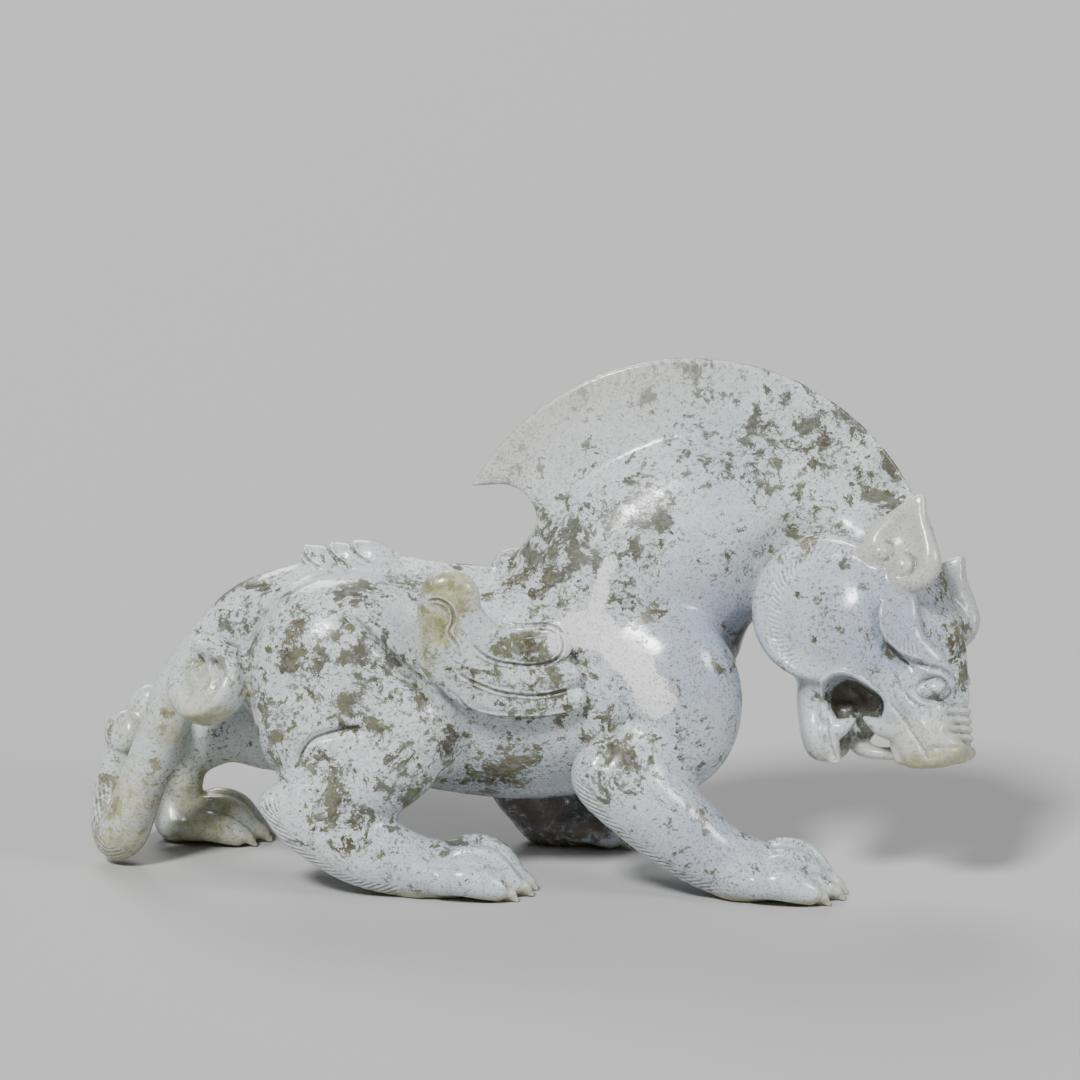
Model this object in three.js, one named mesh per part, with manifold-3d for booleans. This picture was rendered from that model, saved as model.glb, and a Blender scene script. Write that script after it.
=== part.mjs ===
// A prowling mythical beast carved from one block of jade, standing on its four paws.
//
// The carving is described as a carver thinks of it: rounded masses, limbs swept along
// centrelines, and cuts, each with its real size. Their distances blend into one field,
// marching cubes turns the field into a closed mesh, the mesh is simplified to facets,
// and a plane at the ground gives the paws their flat soles.
//
// Millimetres, +Z up, +X towards the head, -Y the beast's right side, with the head
// bowed and turned to that side. The origin is on the ground, under the middle.
import * as THREE from 'three';
import { edgeTable, triTable } from 'three/addons/objects/MarchingCubes.js';
import Module from 'manifold-3d';

// Driving dimensions
const CELL = 0.8;              // edge of the grid cells that the surface is drawn from
const FACETS = 9400;           // triangles kept on the finished solid
const BLEND = 5;               // soft join of the large masses of the body
const LIMB_BLEND = 3;          // soft join of the legs to the body
const FINE_BLEND = 1;          // soft join of carved details
const CENTRE_SHIFT = [-1.197, -0.156, 0]; // moves the solid so that the origin is under its middle

const CREST_CENTRE = [33.5, 56.2];  // x and z of the circle that the crest's rim follows
const CREST_RADIUS = 51;
const CREST_RIM = 1.2;         // half thickness of the crest at its rim
const CREST_ROOT = 3.0;        // half thickness where it leaves the neck
const NOTCH_CENTRE = [-5.4, 73.7];  // the round notch under the crest's rear tip
const NOTCH_RADIUS = 7.6;

// Head frame: a point is [down the muzzle, out of the forehead, to the right cheek]
const POLL = new THREE.Vector3(83.6, -5.5, 67);
const MUZZLE = new THREE.Vector3(0.201, -0.402, -0.894);
const BROW = new THREE.Vector3(0.932, -0.202, 0.3);
const CHEEK = new THREE.Vector3().crossVectors(MUZZLE, BROW).normalize();

// The field of the carving: a list of forms, each with its reach and its distance

const WORLD = [new THREE.Vector3(1, 0, 0), new THREE.Vector3(0, 1, 0), new THREE.Vector3(0, 0, 1)];
const HEAD = [MUZZLE, BROW, CHEEK];
const forms = [];

function headPoint([a, b, c]) {
  return POLL.clone().addScaledVector(MUZZLE, a).addScaledVector(BROW, b).addScaledVector(CHEEK, c);
}

// A quick distance to an ellipse or ellipsoid from its two scaled lengths
function roundDistance(k0, k1, least) {
  return k1 < 1e-9 ? -least : (k0 * (k0 - 1)) / k1;
}

function addForm(low, high, distance, { blend = FINE_BLEND, cut = false } = {}) {
  const margin = blend + CELL;
  forms.push({
    low: low.map((x) => x - margin),
    high: high.map((x) => x + margin),
    distance,
    blend,
    cut,
  });
}

function cubeAround(c, reach) {
  return [[c.x - reach, c.y - reach, c.z - reach], [c.x + reach, c.y + reach, c.z + reach]];
}

// An egg-shaped mass. The frame gives the directions of its three radii.
function egg(centre, radii, options = {}) {
  const { frame = WORLD, tilt = 0 } = options;
  const c = frame === HEAD ? headPoint(centre) : new THREE.Vector3(...centre);
  const turn = new THREE.Quaternion().setFromAxisAngle(frame[1], THREE.MathUtils.degToRad(tilt));
  const axes = frame.map((axis) => axis.clone().applyQuaternion(turn));
  const reach = Math.max(...radii);
  const inverse = radii.map((r) => 1 / r);
  const distance = (x, y, z) => {
    const dx = x - c.x, dy = y - c.y, dz = z - c.z;
    let s0 = 0, s1 = 0;
    for (let i = 0; i < 3; i++) {
      const q = (dx * axes[i].x + dy * axes[i].y + dz * axes[i].z) * inverse[i];
      s0 += q * q;
      s1 += q * q * inverse[i] * inverse[i];
    }
    return roundDistance(Math.sqrt(s0), Math.sqrt(s1), Math.min(...radii));
  };
  addForm(...cubeAround(c, reach), distance, options);
}

// A block with rounded edges, in the head's frame.
function headBlock(centre, half, round, options = {}) {
  const c = headPoint(centre);
  const reach = Math.hypot(...half);
  const distance = (x, y, z) => {
    const d = [x - c.x, y - c.y, z - c.z];
    let outside = 0, inside = -Infinity;
    for (let i = 0; i < 3; i++) {
      const axis = HEAD[i];
      const q = Math.abs(d[0] * axis.x + d[1] * axis.y + d[2] * axis.z) - half[i] + round;
      outside += Math.max(q, 0) ** 2;
      inside = Math.max(inside, q);
    }
    return Math.sqrt(outside) + Math.min(inside, 0) - round;
  };
  addForm(...cubeAround(c, reach), distance, options);
}

// A limb: a round or flattened section swept along a smooth centreline. Each station is
// [x, y, z, radius], and flat is the section's radius along side over its other radius.
function limb(stations, options = {}) {
  const { frame = WORLD, flat = 1, steps = 5, side = frame === HEAD ? CHEEK : WORLD[1] } = options;
  const place = (s) => (frame === HEAD ? headPoint(s) : new THREE.Vector3(s[0], s[1], s[2]));
  const line = new THREE.CatmullRomCurve3(stations.map(place), false, 'catmullrom');
  const sizes = new THREE.CatmullRomCurve3(
    stations.map((s) => new THREE.Vector3(s[3], s[4] ?? flat, 0)), false, 'catmullrom');
  const count = (stations.length - 1) * steps;
  const centres = line.getPoints(count);
  const radii = sizes.getPoints(count).map((v) => Math.max(v.x, 0.05));
  const flats = sizes.getPoints(count).map((v) => v.y);
  const low = [Infinity, Infinity, Infinity], high = [-Infinity, -Infinity, -Infinity];
  centres.forEach((p, i) => {
    const reach = radii[i] * Math.max(1, flats[i]);
    ['x', 'y', 'z'].forEach((axis, k) => {
      low[k] = Math.min(low[k], p[axis] - reach);
      high[k] = Math.max(high[k], p[axis] + reach);
    });
  });
  const distance = (x, y, z) => {
    let best = Infinity;
    for (let i = 0; i < count; i++) {
      const a = centres[i], b = centres[i + 1];
      const ex = b.x - a.x, ey = b.y - a.y, ez = b.z - a.z;
      const length2 = ex * ex + ey * ey + ez * ez;
      let t = ((x - a.x) * ex + (y - a.y) * ey + (z - a.z) * ez) / (length2 || 1);
      t = t < 0 ? 0 : t > 1 ? 1 : t;
      const vx = x - a.x - t * ex, vy = y - a.y - t * ey, vz = z - a.z - t * ez;
      const r = radii[i] + t * (radii[i + 1] - radii[i]);
      const s = r * (flats[i] + t * (flats[i + 1] - flats[i]));
      const u = vx * side.x + vy * side.y + vz * side.z;
      const u2 = u * u;
      const w2 = Math.max(vx * vx + vy * vy + vz * vz - u2, 0);
      const k0 = Math.sqrt(w2 / (r * r) + u2 / (s * s));
      const k1 = Math.sqrt(w2 / (r * r * r * r) + u2 / (s * s * s * s));
      const d = roundDistance(k0, k1, Math.min(r, s));
      if (d < best) best = d;
    }
    return best;
  };
  addForm(low, high, distance, options);
}

// The same form on both cheeks of the head
function bothCheeks(make) {
  make(1);
  make(-1);
}

function smoothMin(a, b, k) {
  const h = Math.max(k - Math.abs(a - b), 0) / k;
  return Math.min(a, b) - (h * h * k) / 4;
}

function fieldOf(near, x, y, z) {
  let d = 1e3;
  for (const form of near) {
    const { low, high } = form;
    if (x < low[0] || y < low[1] || z < low[2] || x > high[0] || y > high[1] || z > high[2]) continue;
    if (form.carve) {
      d += form.carve(x, y, z);
      continue;
    }
    const own = form.distance(x, y, z);
    d = form.cut ? -smoothMin(-d, own, form.blend) : smoothMin(d, own, form.blend);
  }
  return d;
}

// A smooth closed outline through the given points of a plane
function outlineThrough(points) {
  const flat = points.map(([u, v]) => new THREE.Vector3(u, v, 0));
  const curve = new THREE.CatmullRomCurve3(flat, true, 'centripetal');
  return curve.getPoints(points.length * 4).slice(0, -1).map((p) => [p.x, p.y]);
}

function outlineDistance(outline, u, v) {
  let best = Infinity, inside = false;
  for (let i = 0, j = outline.length - 1; i < outline.length; j = i++) {
    const [ax, ay] = outline[j], [bx, by] = outline[i];
    const ex = bx - ax, ey = by - ay, px = u - ax, py = v - ay;
    const t = Math.min(Math.max((px * ex + py * ey) / (ex * ex + ey * ey), 0), 1);
    best = Math.min(best, Math.hypot(px - t * ex, py - t * ey));
    if (ay > v !== by > v && u < ax + ((v - ay) / (by - ay)) * ex) inside = !inside;
  }
  return inside ? -best : best;
}

// A leaf cut out of sheet stone: an outline on the head's side, and how far out it lies
function headLeaf(points, out, half, round, options = {}) {
  const outline = outlineThrough(points);
  const corners = points.flatMap(([a, b]) => [headPoint([a, b, out - half]), headPoint([a, b, out + half])]);
  const low = ['x', 'y', 'z'].map((k) => Math.min(...corners.map((p) => p[k])) - 2);
  const high = ['x', 'y', 'z'].map((k) => Math.max(...corners.map((p) => p[k])) + 2);
  const distance = (x, y, z) => {
    const dx = x - POLL.x, dy = y - POLL.y, dz = z - POLL.z;
    const [a, b, c] = HEAD.map((axis) => dx * axis.x + dy * axis.y + dz * axis.z);
    const flat = outlineDistance(outline, a, b) + round;
    const deep = Math.abs(c - out) - half + round;
    return Math.hypot(Math.max(flat, 0), Math.max(deep, 0)) + Math.min(Math.max(flat, deep), 0) - round;
  };
  addForm(low, high, distance, options);
}

// A thick round disc with soft edges
function disc(centre, axis, radius, half, round, options = {}) {
  const c = new THREE.Vector3(...centre), n = new THREE.Vector3(...axis).normalize();
  const reach = Math.hypot(radius, half);
  const distance = (x, y, z) => {
    const dx = x - c.x, dy = y - c.y, dz = z - c.z;
    const along = dx * n.x + dy * n.y + dz * n.z;
    const across = Math.sqrt(Math.max(dx * dx + dy * dy + dz * dz - along * along, 0)) - radius + round;
    const deep = Math.abs(along) - half + round;
    return Math.hypot(Math.max(across, 0), Math.max(deep, 0)) + Math.min(Math.max(across, deep), 0) - round;
  };
  addForm(...cubeAround(c, reach), distance, options);
}

// A line carved into one flank, drawn in side view
function flankLine(points, side, width, depth, inner = 6) {
  const drawn = points.map(([x, z]) => new THREE.Vector3(x, 0, z));
  const line = new THREE.CatmullRomCurve3(drawn, false, 'catmullrom').getPoints(points.length * 3);
  const reach = 3 * width;
  const xs = line.map((p) => p.x), zs = line.map((p) => p.z);
  const carve = (x, y, z) => {
    if (y * side < inner) return 0;
    let best = Infinity, along = 0;
    for (let i = 0; i < line.length - 1; i++) {
      const a = line[i], b = line[i + 1];
      const ex = b.x - a.x, ez = b.z - a.z, px = x - a.x, pz = z - a.z;
      const t = Math.min(Math.max((px * ex + pz * ez) / (ex * ex + ez * ez), 0), 1);
      const apart = (px - t * ex) ** 2 + (pz - t * ez) ** 2;
      if (apart >= best) continue;
      best = apart;
      along = (i + t) / (line.length - 1);
    }
    const fade = Math.min(1, 6 * along * (1 - along));
    return depth * fade * Math.exp(-best / (width * width));
  };
  forms.push({
    low: [Math.min(...xs) - reach, side > 0 ? inner : -60, Math.min(...zs) - reach],
    high: [Math.max(...xs) + reach, side > 0 ? 60 : -inner, Math.max(...zs) + reach],
    carve,
  });
}

// The body

function trunk() {
  limb([
    [-50, 3, 45.5, 14, 0.95], [-36, 2.5, 42.6, 20.6, 0.86], [-18, 1.5, 40, 22.8, 0.82],
    [2, 0.5, 38.8, 23.4, 0.84], [16, 0, 42, 22.5, 0.86],
  ], { blend: BLEND });
}

function neck() {
  limb([
    [15, 0, 54, 20.5, 0.84], [24, 0, 64.5, 21.4, 0.77], [36, 0, 71, 21, 0.7],
    [49, -0.5, 74.6, 15.6, 0.66], [60, -2.5, 69.5, 13, 0.62], [67, -6, 63, 11, 0.8],
  ], { blend: BLEND });
  egg([20.5, 0, 46], [16.5, 17, 19], { blend: BLEND });
  egg([35.5, 0, 50], [9, 9, 10], { blend: 4 });
}

function crest() {
  const [cx, cz] = CREST_CENTRE;
  const [nx, nz] = NOTCH_CENTRE;
  const distance = (x, y, z) => {
    const rim = Math.hypot(x - cx, z - cz) - CREST_RADIUS;
    const notch = NOTCH_RADIUS - Math.hypot(x - nx, z - nz);
    const underTip = Math.min(nx - x, nz + NOTCH_RADIUS + 0.08 * (x - nx) - z);
    const outline = Math.max(rim, notch, underTip, 60 - z);
    const inward = THREE.MathUtils.smoothstep(-rim, 0, 18);
    const face = Math.abs(y) - THREE.MathUtils.lerp(CREST_RIM, CREST_ROOT, inward);
    return -smoothMin(-outline, -face, 0.8);
  };
  addForm([cx - CREST_RADIUS, -CREST_ROOT, 60], [cx + CREST_RADIUS, CREST_ROOT, cz + CREST_RADIUS],
    distance, { blend: 4 });
}

function spine() {
  limb([[-34, 2, 65.4, 3.4], [-22, 1.6, 61.8, 3.4], [-9, 1, 60.4, 3.2]], { flat: 0.8, blend: 3 });
  const tips = [[-46.6, 66.9], [-41.6, 67.9], [-36.4, 68.6]];
  for (const [x, z] of tips) {
    limb([[x + 7, 2.2, z - 5, 3.9], [x + 3.2, 2.3, z - 2, 2.3], [x + 0.8, 2.3, z - 0.4, 0.6]],
      { flat: 1.2, blend: 0.7 });
  }
}

function haunches() {
  for (const [side, y] of [[-1, -10.5], [1, 15]]) {
    egg([-37.6, y, 45.4], [19.4, 14.5, 18.4], { blend: 6 });
    egg([-27.2, y + 3.5 * side, 34], [14.2, 11.5, 13.8], { blend: 5 });
  }
}

function shoulders() {
  for (const side of [-1, 1]) {
    egg([29.3, 14.6 * side, 38.8], [14.6, 10.6, 18.8], { blend: 5 });
  }
}

// Legs, from the body to the wrist or ankle

function nearHindLeg() {
  egg([-44, -14.5, 34], [10.6, 10, 12.6], { blend: 5 });
  limb([[-25.6, -16.5, 33, 11], [-31.6, -18, 25.6, 10.6], [-42, -19.5, 20.5, 7.6]], { blend: 4, flat: 0.88 });
  limb([
    [-50.6, -20, 18.8, 3.7], [-44, -20, 15.6, 7], [-34.4, -20, 10.4, 8], [-25, -20, 6.4, 6.8],
    [-17, -19.5, 4.6, 5.6],
  ], { blend: LIMB_BLEND, flat: 0.9 });
  paw([-19, -19.5], [-2, -19.8], { width: 18.5, height: 11.6 });
}

function farHindLeg() {
  limb([[-36, 18, 38, 14], [-33, 20, 28, 12], [-41, 21, 24.5, 9.5]], { blend: LIMB_BLEND, flat: 0.8 });
  limb([
    [-40, 21, 25, 9.4], [-52, 22, 25.2, 9.6], [-63, 23, 24.4, 7.2], [-71.8, 24, 18, 5.2],
    [-74.4, 24, 9, 5.2],
  ], { blend: LIMB_BLEND, flat: 0.85 });
  paw([-73, 24], [-57.5, 24], { width: 16.5, height: 10.6 });
}

function nearForeleg() {
  limb([[31, -14.5, 31, 9], [24.6, -18.2, 30, 8.3], [17.6, -21.2, 25.6, 6.6]], { blend: 1, flat: 0.95 });
  limb([
    [13.4, -22, 25.3, 4.3], [18.8, -22, 24.2, 8.6], [28.4, -22, 16.2, 8.7], [37, -22.3, 9.2, 7.5],
    [45, -22.5, 5.6, 6.4],
  ], { blend: LIMB_BLEND, flat: 0.86 });
  paw([44.6, -22.5], [61, -22.8], { width: 18.5, height: 11.6 });
}

function farForeleg() {
  limb([[28, 17, 36, 12], [12, 19.5, 27, 10.2], [-1, 20.5, 20.5, 8.6]], { blend: LIMB_BLEND, flat: 0.85 });
  limb([[-3.6, 21, 18, 6.6], [1.5, 21.5, 11.5, 8], [8, 22, 6, 6.6]], { blend: LIMB_BLEND, flat: 0.9 });
  paw([5, 22], [21.5, 21.6], { width: 17, height: 11.5 });
}

// A paw: a low pad and four arched toes side by side, the outer ones lower, each with a
// short claw that curves to the ground
function paw(heel, tip, { width, height }) {
  const start = new THREE.Vector3(heel[0], heel[1], 0), end = new THREE.Vector3(tip[0], tip[1], 0);
  const ahead = end.clone().sub(start);
  const length = ahead.length();
  ahead.normalize();
  const across = new THREE.Vector3(-ahead.y, ahead.x, 0);
  const at = (along, aside, z) => {
    const p = start.clone().addScaledVector(ahead, along).addScaledVector(across, aside);
    return [p.x, p.y, z];
  };
  limb([
    [...at(-length * 0.1, 0, height * 0.42), height * 0.42],
    [...at(length * 0.35, 0, height * 0.42), height * 0.44],
    [...at(length * 0.62, 0, height * 0.34), height * 0.34],
  ], { blend: 3, flat: width / height });
  const toes = [
    { aside: -0.37, reach: -3.4, rise: 0.74 }, { aside: -0.13, reach: -0.2, rise: 0.97 },
    { aside: 0.13, reach: 0.6, rise: 1 }, { aside: 0.37, reach: -2.2, rise: 0.78 },
  ];
  for (const toe of toes) {
    const r = width * 0.148;
    const reach = length + toe.reach;
    const aside = toe.aside * width;
    const top = height * toe.rise - r;
    limb([
      [...at(reach * 0.3, aside * 0.85, top * 0.86), r],
      [...at(reach * 0.58, aside, top), r * 1.06],
      [...at(reach * 0.82, aside, top * 0.72), r * 1.02],
      [...at(reach * 0.95, aside, r * 0.95), r * 0.86],
    ], { blend: 1.1 });
    limb([
      [...at(reach * 0.93, aside, 3.4), 1.9], [...at(reach + 1.5, aside, 2.3), 1.4],
      [...at(reach + 3.4, aside, 0.4), 0.5],
    ], { blend: 0.7 });
  }
}

// The tail: it leaves the rump, drops to the ground as one strand, turns back up as a
// second strand behind it, and ends in scrolls

function scrollDisc(centre, axis, radius, half, eye) {
  disc(centre, axis, radius, half, 1.6, { blend: 1 });
  const n = new THREE.Vector3(...axis).normalize();
  const u = new THREE.Vector3(0, 0, 1).projectOnPlane(n).normalize();
  const v = new THREE.Vector3().crossVectors(n, u);
  const face = new THREE.Vector3(...centre).addScaledVector(n, half);
  const stations = [];
  const turns = 0.8;
  for (let i = 0; i <= 12; i++) {
    const angle = eye + (i / 12) * turns * 2 * Math.PI;
    const r = THREE.MathUtils.lerp(radius * 0.66, radius * 0.16, i / 12);
    const p = face.clone().addScaledVector(u, r * Math.cos(angle)).addScaledVector(v, r * Math.sin(angle));
    stations.push([p.x, p.y, p.z, 0.9 + 1.1 * (i / 12) ** 2]);
  }
  limb(stations, { steps: 2, cut: true, blend: 0.6 });
}

function tail() {
  limb([
    [-44, 2.4, 57, 8], [-56, 2.2, 53.6, 7], [-64.4, 1.4, 46.4, 6.4], [-71.2, 0, 38.5, 5.6],
    [-74.8, -0.6, 30, 5], [-79.6, 0, 18, 4.9], [-83.2, 1.6, 8.6, 5.2], [-85.4, 5.6, 6, 5],
    [-86.4, 10, 11, 4.6], [-85.2, 12.5, 19, 4.2], [-83.4, 13.4, 25, 4],
  ], { blend: 2 });
  scrollDisc([-64.8, -11.5, 42], [-0.5, -0.67, 0.55], 8.3, 3.7, 5.2);
  egg([-67, -5.5, 40.5], [5.5, 6, 6], { blend: 2 });
  disc([-78.2, 13.8, 30.6], [-0.2, -0.9, 0.35], 5.4, 4, 3, { blend: 0.8 });
  disc([-83.4, 11.8, 26.2], [-0.5, -0.75, 0.4], 4.7, 3.8, 3, { blend: 0.5 });
}

// Wings: three long feathers lying back on each flank and curling up at their tips. The
// far wing sits a little further forward and lower than the near one.

function wings() {
  const feathers = [
    [[6.4, 21.4, 51.9, 2.8], [1, 22, 51.7, 3.6], [-5, 22.6, 51.6, 3.9], [-9.4, 23.6, 54.4, 4.1],
      [-12.6, 24.8, 59.4, 4], [-13.8, 25.4, 63.6, 4.2], [-17.2, 25.6, 64.2, 3.6], [-19.2, 25.4, 61.2, 2.6]],
    [[8, 21.2, 46, 2.9], [2.4, 21.8, 45.6, 3.8], [-4, 22.4, 45.4, 4], [-10.5, 23.4, 47.6, 4.2],
      [-16, 24.6, 53, 4.6], [-18.2, 25.2, 58, 3.8]],
    [[9.4, 20.4, 40.9, 2.8], [2, 21, 40.4, 3.5], [-6, 21.8, 41.2, 3.8], [-12.6, 22.9, 44.6, 3.9],
      [-18, 24.2, 49.8, 3.6], [-20, 24.8, 55.4, 2.6]],
  ];
  for (const [side, ahead, lower] of [[-1, 0, 0], [1, 13.5, 5.5]]) {
    egg([-4 + ahead, 16.5 * side, 45.5 - lower], [13, 6.5, 7.5], { blend: 2 });
    egg([-14 + ahead, 19 * side, 53 - lower], [5.5, 6.5, 7], { blend: 2 });
    for (const stations of feathers) {
      limb(stations.map(([x, y, z, r]) => [x + ahead, y * side, z - lower, r]), { flat: 0.6, blend: 0.5 });
    }
  }
}

// The head

function skull() {
  const head = { frame: HEAD };
  bothCheeks((side) => {
    const hollow = headPoint([6.4, -22.4, 20.4 * side]);
    disc([hollow.x, hollow.y, hollow.z], CHEEK.toArray(), 16.6, 8, 5, { cut: true, blend: 5 });
  });
  egg([8, -18, 0], [16, 15, 15], { ...head, blend: BLEND });
  egg([-5, -10.5, 0], [9, 9, 11.5], { ...head, blend: BLEND });
  bothCheeks((side) => {
    const rim = headPoint([7, -22.2, 6.6 * side]);
    disc([rim.x, rim.y, rim.z], CHEEK.toArray(), 15, 8.8, 2, { blend: 0.8 });
    const cheek = headPoint([8.8, -19.6, 6 * side]);
    disc([cheek.x, cheek.y, cheek.z], CHEEK.toArray(), 12, 11.4, 6.4, { blend: 1.6 });
    egg([10, -17.4, 8 * side], [12, 11.4, 10.6], { ...head, blend: 3 });
    egg([26, -13, 6 * side], [9, 8, 7], { ...head, blend: 3 });
    egg([17.5, -19, 9.6 * side], [8, 10, 5.4], { ...head, blend: 3 });
  });
}

// The forehead and muzzle: a roof along the middle of the face, narrowing to the nose
function face() {
  const ridge = [
    [-14, -2.6], [-5, -0.2], [2, 0.8], [14, 1.8], [20, 1.8], [27, 0.6], [34, -0.5], [40, -1.9], [48, -3.6],
  ];
  const breadth = [[-14, 8], [0, 12.4], [18, 12.4], [27, 10], [34, 8.6], [48, 8.2]];
  const under = [[-14, -14], [24, -18], [30, -15.6], [38, -14.6], [48, -14]];
  const profile = (table, a) => {
    let i = 1;
    while (i < table.length - 1 && table[i][0] < a) i++;
    const [[a0, v0], [a1, v1]] = [table[i - 1], table[i]];
    return THREE.MathUtils.mapLinear(THREE.MathUtils.clamp(a, a0, a1), a0, a1, v0, v1);
  };
  const centre = headPoint([15, -8, 0]);
  const distance = (x, y, z) => {
    const dx = x - POLL.x, dy = y - POLL.y, dz = z - POLL.z;
    const [a, b, c] = HEAD.map((axis) => dx * axis.x + dy * axis.y + dz * axis.z);
    const roof = 0.86 * (b - profile(ridge, a)) + 0.5 * (Math.sqrt(c * c + 2) - 1.4);
    const side = Math.abs(c) - profile(breadth, a);
    const below = profile(under, a) - b;
    const ends = Math.abs(a - 15.4) - 27.4;
    let d = -smoothMin(-roof, -side, 4);
    d = -smoothMin(-d, -below, 3);
    return -smoothMin(-d, -ends, 2);
  };
  addForm([centre.x - 32, centre.y - 32, centre.z - 36], [centre.x + 32, centre.y + 32, centre.z + 36],
    distance, { blend: 2.5 });
}

function jaws() {
  const head = { frame: HEAD };
  egg([29.2, -30.6, 0], [8.8, 4.6, 10], { ...head, blend: 1.6 });
  egg([22, -28, 0], [6, 6, 11], { ...head, blend: 3 });
  bothCheeks((side) => {
    egg([34.6, -11.6, 5.4 * side], [7.4, 4.8, 4.6], { ...head, blend: 1.6 });
    limb([[24, -26.4, 8.6 * side, 1.7], [31, -27.4, 8.4 * side, 1.7], [36.4, -28.6, 6.6 * side, 1.5]], head);
    egg([39.4, -5.4, 4.6 * side], [3, 3.6, 3.6], { ...head, blend: 1.2 });
  });
  headBlock([38.2, -15.4, 0], [2.6, 2.4, 7.2], 0.8, { blend: 0.8 });
  bothCheeks((side) => {
    egg([26.6, -21, 12 * side], [5.2, 5.8, 9.4], { ...head, cut: true, blend: 1 });
  });
  limb([[30.5, -21.6, 0, 4.6], [36, -21.6, 0, 5], [50, -21.4, 0, 6.2]],
    { ...head, flat: 4, cut: true, blend: 1.2 });
  egg([25.5, -21, 0], [6.6, 7, 3], { ...head, blend: 1.5 });
  limb([
    [27, -24.6, 0, 2.8], [31.4, -24.6, 0, 2.4], [34.6, -23.4, 0, 1.9], [36.4, -20.8, 0, 1.6],
    [37.4, -17.4, 0, 1.6],
  ], { ...head, flat: 1.9, blend: 0.8 });
  bothCheeks((side) => {
    limb([[30.8, -28, 8 * side, 2.2], [30.7, -25.4, 8.6 * side, 1.8], [29.9, -22.2, 8.8 * side, 0.5]],
      { ...head, blend: 0.5 });
    limb([[33.6, -14.4, 7.6 * side, 2.7], [32.6, -17.2, 8.4 * side, 1.9], [30.1, -20, 8.6 * side, 0.5]],
      { ...head, blend: 0.5 });
  });
}

function brows() {
  bothCheeks((side) => {
    limb([
      [9.6, -10.8, 14 * side, 0.6], [13.6, -9.6, 14 * side, 3], [18.8, -7.4, 12.2 * side, 4.2],
      [23, -4.4, 9.4 * side, 3.2], [26.8, -1.8, 6.8 * side, 1.6],
    ], { frame: HEAD, flat: 0.5, blend: 1 });
    egg([27.4, -4.4, 8.6 * side], [1.7, 2.7, 1.5], { frame: HEAD, blend: 0.6 });
  });
  const wrinkles = [33.4, 35.2, 37, 38.9];
  for (const along of wrinkles) {
    limb([[along, -3.8, -5.5, 0.9], [along, -1.3 - 0.12 * (along - 33), 0, 1.2], [along, -3.8, 5.5, 0.9]],
      { frame: HEAD, blend: 0.8 });
  }
}

// The chin and the end of the muzzle are cut level
function underFace() {
  const distance = (x, y, z) => {
    const deep = Math.abs(z - 20.2) - 6.8;
    const ahead = 54 - x;
    return Math.max(deep, ahead);
  };
  addForm([54, -40, 13.4], [100, 20, 27], distance, { cut: true, blend: 1.6 });
}

// The near ear stands up beside the end of the crest. The far ear is set lower.
function ears() {
  const leaf = [
    [-9.8, 3], [-9.8, 0.4], [-8.7, -3.5], [-7.2, -7.2], [-5.4, -10], [-3, -11.8], [-0.4, -12.2],
    [1.4, -10], [2.4, -7.6], [5.4, -6.9], [8, -4.4], [8.4, -1.4], [6.6, 1.8], [3.6, 3.2], [-0.6, 2.6],
    [-4.6, 2.1], [-7.6, 2.6],
  ];
  for (const [side, shift, out] of [[1, 0, 13.6], [-1, 8.4, 12.6]]) {
    headLeaf(leaf.map(([a, b]) => [a + shift, b]), out * side, 1.5, 0.8, { blend: 0.8 });
    const rims = [
      [[-9.4, 2.3, 0.8], [-5.6, 1.2, 1.4], [-1, 1.2, 1.9], [3.2, 1.4, 2.1], [6, -0.4, 2.1], [6.2, -3.4, 2],
        [3.6, -4.8, 1.6], [2, -3.2, 1.5]],
      [[-9.2, 0.4, 0.8], [-7, -4, 1], [-4.4, -8.2, 1.3], [-1.4, -10, 1.8], [0.4, -8, 1.7], [-0.6, -6.8, 1.4]],
    ];
    for (const rim of rims) {
      limb(rim.map(([a, b, r]) => [a + shift, b, (out + 1) * side, r]), { frame: HEAD, steps: 4, blend: 1 });
    }
    egg([3 + shift, -4, (out - 3) * side], [5, 4.5, 3], { frame: HEAD, blend: 1.5 });
  }
}

// Lines carved into the flanks: the tail's root, the fold before the haunch and the arc
// on the near thigh
function flankLines() {
  for (const side of [-1, 1]) {
    flankLine([[-49.6, 65], [-52.6, 60.8], [-55.6, 55.6], [-58, 50]], side, 1.7, 1.5);
    flankLine([[-33, 58.6], [-28.6, 50.6], [-23.6, 44.4], [-18.5, 39.6]], side, 1.7, side < 0 ? 1.3 : 0.7);
  }
  flankLine([[-45.6, 29], [-44.2, 31.6], [-41, 33], [-37.5, 33.2], [-34.6, 32.2]], -1, 1.1, 0.9);
}

// Marching cubes over blocks of cells, each with only the forms that reach it

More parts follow.
